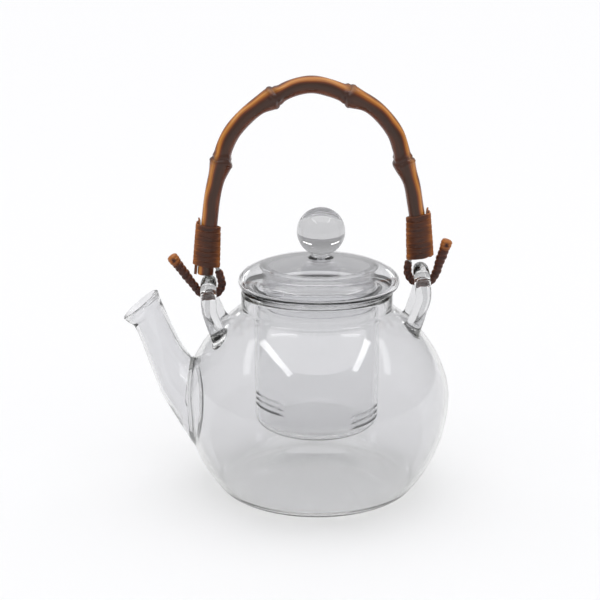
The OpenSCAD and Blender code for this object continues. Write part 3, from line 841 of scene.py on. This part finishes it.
prof = [(LID_R - 4.2, LID_Z0 + 0.12), (LID_R - 3.6, LID_Z0), (LID_R - 2.4, LID_Z0 + 0.1)]
prof += arc(LID_R - 3.3, LID_Z, 3.3, -66, 0, 12)
prof += [(LID_R * math.cos(math.pi / 2 * i / 40), dome(LID_R * math.cos(math.pi / 2 * i / 40))) for i in range(1, 40)]
prof += [(0.0, dome(0))]
lid_out = prof
prof2 = [(0.0, dome(0, LID_W))]
ri = LID_R - LID_W
prof2 += [(ri * math.cos(math.pi / 2 * i / 40), dome(ri * math.cos(math.pi / 2 * i / 40), LID_W)) for i in range(39, 5, -1)]
prof2 = [p for p in prof2 if p[0] <= ri * math.cos(math.pi / 2 * 6 / 40)]
prof2 += [(ri * math.cos(math.pi / 2 * i / 40), dome(ri * math.cos(math.pi / 2 * i / 40), LID_W)) for i in (5, 4, 3, 2)]
prof2 += arc(LID_R - 3.3, LID_Z, 1.1, 12, -80, 6) + [(LID_R - 4.0, LID_Z0 + 2.0), (LID_R - 4.6, LID_Z0 + 1.5), (LID_R - 4.7, LID_Z0 + 0.7)]
lid = lathe("lid_dome_glass", prof + prof2, n=192, closed=True, off=(LX, 0))
fix_normals(lid)
paint(lid, G_LID, "glass_lid", "lid", "lid_dome")

SK_R, SK_W, SK_B = 29.3, 1.8, LID_Z0 - 9
prof = [(SK_R - SK_W + 0.5, SK_B + 0.06), (SK_R - 0.5, SK_B + 0.06)]
prof = arc(SK_R - 0.6, SK_B + 0.6, 0.6, -90, 0, 5)
prof += [(SK_R, dome(SK_R, LID_W) - 1.2), (SK_R + 0.5, dome(SK_R + 0.5, LID_W) - 0.4), (SK_R + 1.1, dome(SK_R + 1.1, LID_W) - 0.03)]
prof += [(SK_R - SK_W * 0.5, dome(SK_R - SK_W * 0.5, LID_W) - 0.03)]
prof += [(SK_R - SK_W - 1.0, dome(SK_R - SK_W - 1.0, LID_W) - 0.03), (SK_R - SK_W - 0.4, dome(SK_R - SK_W, LID_W) - 0.5), (SK_R - SK_W, dome(SK_R - SK_W, LID_W) - 1.3)]
prof += arc(SK_R - SK_W + 0.6, SK_B + 0.6, 0.6, 180, 270, 5)
skirt = lathe("lid_skirt_glass", prof, n=160, closed=True, off=(LX, 0))
fix_normals(skirt)
paint(skirt, G_LID, "glass_lid", "lid", "lid_skirt")

KR, KN = 12.5, 5.6
KZ = dome(0) + 1.4 + KR - 0.3
a0 = -math.degrees(math.acos((KN - 0.3) / KR))
prof = [(0.0, dome(0) + 0.03), (KN * 0.5, dome(KN * 0.5) + 0.03), (KN + 1.2, dome(KN + 1.2) + 0.03),
        (KN + 0.55, dome(0) + 0.22), (KN + 0.15, dome(0) + 0.62), (KN, dome(0) + 1.1)]
prof += arc(0, KZ, KR, a0, 89.9, 60)
prof += [(0.0, KZ + KR)]
knob = lathe("lid_knob_glass", prof, n=128, off=(LX + 1.0, 0))
fix_normals(knob)
paint(knob, G_KNOB, "glass_knob", "lid", "lid_knob")

# ------------------------------------------------------------------ cane
CANE = [(-58, 0, 115.2), (-57.1, 0, 125), (-55.8, 0, 138), (-54, 0, 153), (-52, 0, 163),
        (-49, 0, 173), (-47, 0, 181), (-43, 0, 189), (-37, 0, 196), (-30, 0, 202),
        (-23, 0, 206), (-13, 0, 211), (-3, 0, 213), (7, 0, 211),
        (17, 0, 207), (26, 0, 203), (33, 0, 197), (39, 0, 189), (42, 0, 181),
        (44, 0, 173), (48, 0, 163), (50, 0, 153), (51.8, 0, 142), (52.7, 0, 132), (53.5, 0, 124)]
NODE_AT = [5, 10, 14, 19]
line = catmull(CANE, 16)
sl = lengths(line)
node_s = [sl[i * 16] for i in NODE_AT]
total = sl[-1]
pts = even(line, 0.45)
rnd = random.Random(7)
tilt = [rnd.uniform(-0.9, 0.9) for _ in node_s]
phase = [rnd.uniform(0, TAU) for _ in node_s]


# bud scars at each node: angle round the cane, distance along, width, height
BUDS = [
    [(math.radians(150), 1.5, 1.6, 0.55), (math.radians(20), 2.0, 1.4, 0.5), (math.radians(255), 0.5, 1.2, 0.4)],
    [(math.radians(170), -1.0, 1.7, 0.6), (math.radians(330), 1.0, 1.5, 0.5), (math.radians(90), 1.5, 1.3, 0.5)],
    [(math.radians(195), 0.0, 1.8, 0.6), (math.radians(90), 3.0, 1.3, 0.6), (math.radians(15), 1.0, 1.5, 0.5)],
    [(math.radians(215), 1.0, 1.4, 0.5), (math.radians(150), 2.6, 1.2, 0.5), (math.radians(40), 0.5, 1.5, 0.5)],
]


def lump(x, w):
    return math.exp(-(x / w) ** 2)


def wedge(x, gentle, steep):
    """Rises gently from the limb side and drops steeply on the crown side."""
    return math.exp(-(x / gentle) ** 2) if x < 0 else math.exp(-(x / steep) ** 2)


def cane_r(i, s, a):
    r = 4.35 - 0.2 * ((s - total / 2) / (total / 2)) ** 2
    r += 0.08 * math.sin(a * 3 + s * 0.05) + 0.07 * math.sin(a * 2 - s * 0.031 + 1.3) + 0.05 * math.sin(s * 0.11)
    for j, ns in enumerate(node_s):
        side = 1 if j < 2 else -1                 # towards the top of the bail
        x = (s - ns + tilt[j] * math.cos(a - phase[j]) + 0.5 * math.sin(3 * a + 2 * j)) * side
        o = math.sin(a)
        r += (0.95 + 0.55 * o * o) * wedge(x - 1.0, 6.0, 1.7)            # the flared sheath scar
        r += 0.40 * lump(x - 0.2, 0.55) * (0.6 + 0.4 * math.sin(2 * a + 3.1 * j))
        r -= 0.38 * lump(x - 2.3, 0.7)                                   # groove
        r += 0.55 * lump(x - 3.6, 1.1) * (0.7 + 0.3 * math.cos(3 * a + j))   # root ring
        r += 0.28 * lump(x - 3.2, 2.6) * math.cos(5 * a + 1.7 * j)
        for ba, bx, bw, bh in BUDS[j]:
            da = (a - ba + math.pi) % TAU - math.pi
            q = math.exp(-(da * 4.6 / bw) ** 2 - ((x - bx) / bw) ** 2)
            r += bh * q - 1.3 * bh * math.exp(-(da * 4.6 / (bw * 0.45)) ** 2 - ((x - bx) / (bw * 0.45)) ** 2)
    return r


def STAIN_AND_PAINTED_LIGHT(o, a, s):
    """Tone round the cane: red-brown stain inside, painted shade on the two flat sides, painted light along the outer
    edge.
    """
    tab = ((-1.0, 0.20), (-0.90, 0.40), (-0.70, 0.30), (-0.45, 0.12), (0.0, 0.03), (0.20, 0.10),
           (0.36, 0.34), (0.55, 0.72), (0.75, 0.95), (0.92, 0.70), (1.0, 0.35))
    o = max(-1.0, min(1.0, o + 0.06 * math.sin(s * 0.13) + 0.05 * math.sin(s * 0.41 + 1)))
    for (x0, y0), (x1, y1) in zip(tab, tab[1:]):
        if o <= x1:
            u = (o - x0) / (x1 - x0)
            u = u * u * (3 - 2 * u)
            return y0 + (y1 - y0) * u
    return tab[-1][1]


# which way is outside: test the frame at the left end
_p, _t, _n1, _n2 = frames(pts, (0, 1, 0))[20]
SIGN = 1 if _n2.x < 0 else -1                      # outside is -X there


def cane_attr(i, s, a):
    o = SIGN * math.sin(a)
    kn = 0.0
    for j, ns in enumerate(node_s):
        side = 1 if j < 2 else -1
        x = (s - ns + 0.5 * math.sin(3 * a + 2 * j)) * side
        kn = max(kn, 0.75 * lump(x - 2.0, 3.0), lump(x - 2.3, 0.8))
        for ba, bx, bw, bh in BUDS[j]:
            da = (a - ba + math.pi) % TAU - math.pi
            kn = max(kn, 1.2 * math.exp(-(da * 4.6 / (bw * 0.6)) ** 2 - ((x - bx) / (bw * 0.6)) ** 2))
    # outer: stain with painted light along the outer edge and painted shade on the flat sides
    return {"outer": STAIN_AND_PAINTED_LIGHT(o, a, s), "along": s, "knot": kn, "fx": math.cos(a), "fy": math.sin(a)}


cane = sweep("bamboo_cane_stained", pts, cane_r, n=64, attrs=cane_attr)
fix_normals(cane)
M_BAMBOO = bamboo_mat()
paint(cane, M_BAMBOO, "bamboo", "bail", "bamboo_cane")

# ------------------------------------------------------------------ cane ends
ENDS = {
    "left": dict(o=Vector((-57.6, 0, 119.3)), up=Vector((1, 0, 10.5)).normalized(), bind=(0.3, 21.5), side=-1, c=LC),
    "right": dict(o=Vector((53.6, 0, 122.5)), up=Vector((-1, 0, 11)).normalized(), bind=(1.4, 23.7), side=1, c=RC),
}
for e in ENDS.values():
    u = e["up"]
    e["out"] = Vector((-u.z, 0, u.x)) if e["side"] < 0 else Vector((u.z, 0, -u.x))
END_R, WIRE_R, WRAP_R, SPL_T = 4.3, 1.0, 2.2, 1.6
LO, HI = (3.0, 5.4), (20.0, 4.4)


def shank_p(s):
    return LO[1] + (HI[1] - LO[1]) * (s - LO[0]) / (HI[0] - LO[0])


def hull2(pts):
    pts = sorted(set((round(x, 5), round(y, 5)) for x, y in pts))

    def half(seq):
        h = []
        for p in seq:
            while len(h) > 1 and (h[-1][0] - h[-2][0]) * (p[1] - h[-2][1]) - (h[-1][1] - h[-2][1]) * (p[0] - h[-2][0]) <= 0:
                h.pop()
            h.append(p)
        return h
    lo, up = half(pts), half(pts[::-1])
    return lo[:-1] + up[:-1]


def section(s, g, n=96):
    """Outline of the bound end at height s, grown by g, as n points evenly round it (x outwards, y across)."""
    c = []
    for cx, cy, r in ((0, 0, END_R + g), (-shank_p(s), 0, WIRE_R + g), (END_R + 0.1 + SPL_T - 0.8, 2, 0.8 + g), (END_R + 0.1 + SPL_T - 0.8, -2, 0.8 + g)):
        c += [(cx + r * math.cos(TAU * k / 64), cy + r * math.sin(TAU * k / 64)) for k in range(64)]
    h = hull2(c)
    h = h + [h[0]]
    L_ = lengths(h)
    out, j = [], 0
    for i in range(n):
        t = L_[-1] * i / n
        while L_[j + 1] < t:
            j += 1
        u = (t - L_[j]) / (L_[j + 1] - L_[j])
        out.append((h[j][0] + (h[j + 1][0] - h[j][0]) * u, h[j][1] + (h[j + 1][1] - h[j][1]) * u))
    return out, L_[-1]


def place(e, s, x, y):
    return e["o"] + s * e["up"] + x * e["out"] + y * Vector((0, 1, 0))


def make_binding(name, e, seed):
    """One flat strip wound up the cane's end, turn by turn."""
    rnd = random.Random(seed)
    b0, b1 = e["bind"]
    b1 += 1.3
    turns = 7.6
    pitch = (b1 - b0 - 2.4) / turns
    width = pitch * 1.16
    N = 96
    secs = {}

    def sec(s):
        k = round(s * 4)
        if k not in secs:
            secs[k] = section(k / 4, 0.1, N)[0]
        return secs[k]
    wob = [rnd.uniform(-0.28, 0.28) for _ in range(14)]
    lift = [rnd.uniform(0.0, 0.22) for _ in range(14)]
    verts, faces, av = [], [], []
    prof_n = 11
    steps = int(turns * N)
    run = 0.0
    prev = None
    for i in range(steps + 1):
        th = i / N
        k = i % N
        j = int(th)
        f = th - j
        w_ = wob[j] * (1 - f) + wob[j + 1] * f
        lf = lift[j] * (1 - f) + lift[j + 1] * f
        s0 = b0 + 1.2 + pitch * th + w_ * 0.7
        tiltw = 0.35 * math.sin(TAU * th + seed)       # each turn leans a little
        s0 += tiltw * 0.6
        row = []
        x, y = sec(s0)[k]
        x2, y2 = sec(s0)[(k + 1) % N]
        nx, ny = (y2 - y), -(x2 - x)
        d = math.hypot(nx, ny) or 1
        nx, ny = nx / d, ny / d
        # outward check
        if nx * x + ny * y < 0:
            nx, ny = -nx, -ny
        # strip section: rounded edges, slightly crowned, its lower edge on the turn below
        for q in range(prof_n):
            v = -1 + 2 * q / (prof_n - 1)
            crown = 0.78 * (1 - abs(v) ** 5) ** 0.5 if abs(v) < 1 else 0.0
            over = 0.16 * (v < -0.55) * (-(v + 0.55) / 0.45) if v < -0.55 else 0.0
            h = 0.02 + crown * (0.86 + lf * 0.5) + over * 0.4
            p = place(e, s0 + v * width / 2, x + nx * h, y + ny * h)
            row.append(p)
        for q in range(prof_n):
            v = 1 - 2 * q / (prof_n - 1)
            p = place(e, s0 + v * width / 2 * 0.97, x - nx * 0.02, y - ny * 0.02)
            row.append(p)
        if prev is not None:
            run += (row[prof_n // 2] - prev).length
        prev = row[prof_n // 2]
        base = len(verts)
        verts += [tuple(p) for p in row]
        for q in range(2 * prof_n):
            v = -1 + 2 * q / (prof_n - 1) if q < prof_n else 1 - 2 * (q - prof_n) / (prof_n - 1)
            # the fourth value paints light on the binding's sides seen edge-on and leaves it dark where it faces front
            # and back
            av.append((v, run, float(j) + 0.37 * seed, min(1.0, abs(x) / (END_R + 1.6)) ** 2.2))
        if i:
            m = 2 * prof_n
            for q in range(m):
                a, b = base - m + q, base - m + (q + 1) % m
                faces.append((a, b, b + m, a + m))
    m = 2 * prof_n
    faces.append(tuple(range(m - 1, -1, -1)))
    faces.append(tuple(range(len(verts) - m, len(verts))))
    ob = new_obj(name, verts, faces)
    fix_normals(ob)
    for idx, key in enumerate(("across", "run", "turn", "painted_light_and_pale_tip")):
        at = ob.data.attributes.new(key, "FLOAT", "POINT")
        at.data.foreach_set("value", [t[idx] for t in av])
    return ob


M_BIND = rattan_mat("rattan_binding", (0.040, 0.015, 0.009), (0.120, 0.033, 0.010), (0.46, 0.15, 0.028))
M_SPL = rattan_mat("rattan_splint", (0.030, 0.012, 0.008), (0.10, 0.030, 0.010), (0.40, 0.13, 0.025))
M_WRAP = rattan_mat("rattan_hook_wrap", (0.036, 0.012, 0.008), (0.095, 0.025, 0.011), (0.46, 0.155, 0.03), coat=0.3)

bind_l = make_binding("left_binding_rattan", ENDS["left"], 3)
bind_r = make_binding("right_binding_rattan", ENDS["right"], 11)
paint(bind_l, M_BIND, "rattan", "bail", "left_binding")
paint(bind_r, M_BIND, "rattan", "bail", "right_binding")


def make_splint(name, e, s0, s1, tip):
    """Flat strip under the winding, cut to a ragged point at the top."""
    verts, faces, av = [], [], []
    n = 60
    prof_n = 9
    for i in range(n + 1):
        t = i / n
        s = s0 + (s1 - s0) * t
        end = max(0.0, (s - (s1 - tip)) / tip)
        wl = -2.35 + 2.6 * end ** 1.4                  # one edge is cut away to the point
        wr = 2.35 - 1.5 * end ** 2
        if t < 0.04:
            wl, wr = wl * (0.9 + t * 2.5), wr * (0.9 + t * 2.5)
        lean = 0.8 * end ** 2
        for q in range(prof_n):
            v = q / (prof_n - 1)
            y = wl + (wr - wl) * v
            h = (SPL_T - 0.15) * (1 - abs(2 * v - 1) ** 6 * 0.55) * (1 - 0.45 * end)
            verts.append(tuple(place(e, s, END_R + 0.08 + h + lean, y)))
            # the fourth value makes the splint paler towards its cut point
            av.append((2 * v - 1, s, 0.0, 0.25 + 0.6 * end))
        for q in range(prof_n):
            v = 1 - q / (prof_n - 1)
            y = wl + (wr - wl) * v
            verts.append(tuple(place(e, s, END_R + 0.08 + lean, y)))
            av.append((2 * v - 1, s, 1.0, 0.25 + 0.6 * end))
        if i:
            m = 2 * prof_n
            base = i * m
            for q in range(m):
                a, b = base - m + q, base - m + (q + 1) % m
                faces.append((a, b, b + m, a + m))
    m = 2 * prof_n
    faces.append(tuple(range(m - 1, -1, -1)))
    faces.append(tuple(range(len(verts) - m, len(verts))))
    ob = new_obj(name, verts, faces)
    fix_normals(ob)
    for idx, key in enumerate(("across", "run", "turn", "painted_light_and_pale_tip")):
        at = ob.data.attributes.new(key, "FLOAT", "POINT")
        at.data.foreach_set("value", [t[idx] for t in av])
    ob.data.set_sharp_from_angle(angle=math.radians(45))
    return ob


spl_l = make_splint("left_splint_rattan", ENDS["left"], -4.3, 25.1, 4.0)
spl_r = make_splint("right_splint_rattan", ENDS["right"], 1.7, 27.3, 4.2)
paint(spl_l, M_SPL, "rattan_splint", "bail", "left_splint")
paint(spl_r, M_SPL, "rattan_splint", "bail", "right_splint")

# ------------------------------------------------------------------ hooks
TAILS = {
    "left": [(-56, 0, 103.4), (-60.3, 0, 104.4), (-64, 0, 109), (-68, 0, 114.5), (-72.2, 0, 120.3)],
    "right": [(54, 0, 110.4), (58.6, 0, 110.9), (61.6, 0, 115.3), (63.4, 0, 121.2), (65.6, 0, 128)],
}


def hook_line(key):
    e = ENDS[key]
    m = e["c"] + ARCH * UP
    rr = ROD + 0.4 + WRAP_R
    shank = [place(e, s, -p, 0) for s, p in ((20.0, 4.4), (11.5, shank_p(11.5)), (3.0, 5.4), (0.3, shank_p(0.3)), (-1.6, 6.6))]
    bend = [m + rr * (e["side"] * math.cos(math.radians(a)) * AX + math.sin(math.radians(a)) * UP) for a in range(180, 271, 15)]
    tail = catmull(TAILS[key], 3)[1:]
    ctl = [tuple(p) for p in shank] + [tuple(p) for p in bend] + tail
    return catmull(ctl, 8)


M_STEEL = steel_mat()
for key in ("left", "right"):
    e = ENDS[key]
    full = even(hook_line(key), 0.25)
    wire = sweep(f"{key}_hook_wire_steel", even(hook_line(key), 0.7), lambda i, s, a: WIRE_R, n=20)
    fix_normals(wire)
    paint(wire, M_STEEL, "hook_steel", "bail", f"{key}_hook_wire")
    limit = -1.3 if key == "left" else 0.0
    first = next(i for i, p in enumerate(full) if (Vector(p) - e["o"]).dot(e["up"]) < limit)
    wl = full[first:]
    pitch = 2.7
    Ltot = lengths(wl)[-1]

    def wrap_r(i, s, a, Ltot=Ltot, pitch=pitch):
        ph = s / pitch - a / TAU
        f = ph - math.floor(ph)
        ridge = (math.sin(math.pi * min(1.0, f * 1.02)) ** 0.55) if f < 0.98 else 0.0
        j = math.floor(ph)
        var = 0.05 * math.sin(j * 2.3)
        r = 1.66 + (0.50 + var) * ridge
        grow = max(0.0, (s - 0.55 * Ltot) / (0.45 * Ltot))
        r += 0.62 * grow ** 1.2 + 0.12 * math.sin(j * 1.7) * grow
        ends = min(1.0, s / 0.8)
        return r * (0.75 + 0.25 * ends)

    def wrap_attr(i, s, a, pitch=pitch):
        ph = s / pitch - a / TAU
        f = ph - math.floor(ph)
        # the last value paints light on the wrap's sides seen edge-on
        return {"across": 2 * f - 1, "run": math.floor(ph) * 12.0 + a * 1.9, "turn": float(math.floor(ph) % 7),
                "painted_light_and_pale_tip": 0.75 * abs(math.sin(a)) ** 3}

    wrap = sweep(f"{key}_hook_wrap_rattan", wl, wrap_r, n=40, attrs=wrap_attr)
    fix_normals(wrap)
    paint(wrap, M_WRAP, "rattan_hook", "bail", f"{key}_hook_wrap")

    # the end: the strip is wound over the wire's tip into a bead with a dimple
    t = (Vector(full[-1]) - Vector(full[-6])).normalized()
    q = Vector(full[-1]) - 1.0 * t
    side = Vector((0, 1, 0))
    n2 = t.cross(side)
    verts, faces, av = [], [], []
    NB, NR = 56, 44
    for i in range(NR + 1):
        u = i / NR
        # outline of the bead: neck, belly, rounded top with a dimple
        if u < 0.72:
            w = u / 0.72
            z = 5.2 * w
            rad = 2.25 + 0.72 * math.sin(math.pi / 2 * min(1.0, w * 1.25)) ** 1.2
        else:
            w = (u - 0.72) / 0.28
            z = 5.2 + 1.75 * math.sin(w * math.pi / 2)
            rad = max(0.02, 2.97 * math.cos(w * math.pi / 2) ** 0.62)
        for k in range(NB):
            a = TAU * k / NB
            ph = z / 1.75 - a / TAU
            f = ph - math.floor(ph)
            ridge = math.sin(math.pi * f) ** 0.6
            r = rad * (0.90 + 0.10 * ridge)
            # the curl's eye: a dimple in the two flat sides
            eye = math.exp(-((z - 4.0) / 1.15) ** 2) * (math.exp(-(((a + math.pi) % TAU - math.pi) / 0.42) ** 2)
                                                        + math.exp(-((a - math.pi) / 0.42) ** 2))
            r -= 0.75 * eye
            p = q + t * z + side * (r * math.cos(a)) + n2 * (r * math.sin(a))
            verts.append(tuple(p))
            # the fourth value paints a highlight on the bead's top and painted shade in the eye's dimple
            av.append((2 * f - 1, math.floor(ph) * 9 + a * 2.4, float(math.floor(ph) % 5),
                       max(0.0, 0.35 + 0.9 * min(1.0, z / 4.5) * (1 - 1.6 * eye))))
    for i in range(NR):
        for k in range(NB):
            a, b = i * NB + k, i * NB + (k + 1) % NB
            faces.append((a, b, b + NB, a + NB))
    faces.append(tuple(range(NB - 1, -1, -1)))
    faces.append(tuple(range(NR * NB, NR * NB + NB)))
    bead = new_obj(f"{key}_hook_bead_rattan", verts, faces)
    fix_normals(bead)
    for idx, kk in enumerate(("across", "run", "turn", "painted_light_and_pale_tip")):
        at = bead.data.attributes.new(kk, "FLOAT", "POINT")
        at.data.foreach_set("value", [x[idx] for x in av])
    paint(bead, M_WRAP, "rattan_hook", "bail", f"{key}_hook_tip")

# ------------------------------------------------------------------ stage
me = bpy.data.meshes.new("floor")
bm = bmesh.new()
bmesh.ops.create_circle(bm, cap_ends=True, segments=96, radius=30.0)
bm.to_mesh(me)
bm.free()
floor = bpy.data.objects.new("floor", me)
bpy.context.scene.collection.objects.link(floor)
floor.location = (0, 0, -0.0002)
me.materials.append(floor_mat())

world = bpy.data.worlds.new("studio")
bpy.context.scene.world = world
world.use_nodes = True
nt = world.node_tree
nt.nodes.clear()
wo = nt.nodes.new("ShaderNodeOutputWorld")
bg = nt.nodes.new("ShaderNodeBackground")
tc = nt.nodes.new("ShaderNodeTexCoord")
sx = nt.nodes.new("ShaderNodeSeparateXYZ")
rp = nt.nodes.new("ShaderNodeValToRGB")
els = rp.color_ramp.elements
els[0].position, els[0].color = 0.0, (0.50, 0.50, 0.51, 1)
els[1].position, els[1].color = 1.0, (0.62, 0.62, 0.63, 1)
for pos, v in ((0.15, 0.50), (0.40, 0.60), (0.62, 0.66)):
    els.new(pos).color = (v, v, v * 1.01, 1)
nt.links.new(tc.outputs["Generated"], sx.inputs[0])
nt.links.new(sx.outputs["Z"], rp.inputs["Fac"])
nt.links.new(rp.outputs["Color"], bg.inputs["Color"])
bg.inputs["Strength"].default_value = 1.0
nt.links.new(bg.outputs[0], wo.inputs["Surface"])


def strip(name, a, b, width, radiance):
    """A long soft lamp from a to b, facing the pot. It shapes the gloss, and leaves the even light on the floor to the sky and the overhead lamp."""
    a, b = Vector(a), Vector(b)
    mid, run = (a + b) / 2, (b - a)
    z = (mid - Vector((0, 0, 0.08))).normalized()
    x = (run - run.dot(z) * z).normalized()
    y = z.cross(x)
    d = bpy.data.lights.new(name, "AREA")
    d.shape = "RECTANGLE"
    d.size, d.size_y = run.length, width
    d.energy = radiance * math.pi * d.size * d.size_y
    o = bpy.data.objects.new(name, d)
    bpy.context.scene.collection.objects.link(o)
    o.matrix_world = Matrix.Translation(mid) @ Matrix((x, y, z)).transposed().to_4x4()
    o.visible_diffuse = False
    return o


strip("strip_left", (-0.42, -0.64, 0.98), (-0.69, 0.165, 0.98), 0.085, 4.8)
strip("strip_right", (0.57, -0.51, 0.98), (0.63, 0.13, 0.98), 0.085, 4.8)
strip("side_right", (0.80, 0.30, 0.95), (0.95, -0.20, 0.72), 0.12, 1.7)
strip("side_left", (-0.80, 0.30, 0.95), (-0.95, -0.20, 0.72), 0.12, 1.7)
strip("back_left", (-0.75, 0.95, 0.36), (-0.35, 1.13, 0.36), 0.05, 3.0)
strip("back_right", (0.35, 1.13, 0.36), (0.75, 0.95, 0.36), 0.05, 3.0)
strip("bar_left", (-0.52, 0.14, 0.98), (-0.22, -0.02, 0.98), 0.02, 4.0)
strip("bar_right", (0.28, 0.0, 0.98), (0.50, 0.115, 0.98), 0.02, 4.0)

over = bpy.data.lights.new("overhead", "SUN")
over.energy = 1.42
over.angle = math.radians(70)
oo = bpy.data.objects.new("overhead", over)
bpy.context.scene.collection.objects.link(oo)
oo.location = (0, 0, 2)

cam = bpy.data.cameras.new("camera")
cam.sensor_width = 36.0
cam.lens = 80.42
cam.clip_start, cam.clip_end = 0.01, 100
co = bpy.data.objects.new("camera", cam)
bpy.context.scene.collection.objects.link(co)
el = math.radians(15.68)
co.location = (-0.00881, -0.7 * math.cos(el), 0.10103 + 0.7 * math.sin(el))
co.rotation_euler = (math.pi / 2 - el, 0, 0)
bpy.context.scene.camera = co

sc = bpy.context.scene
sc.view_settings.view_transform = "Standard"
sc.cycles.max_bounces = 28
sc.cycles.transmission_bounces = 28
sc.cycles.transparent_max_bounces = 32
sc.cycles.glossy_bounces = 8
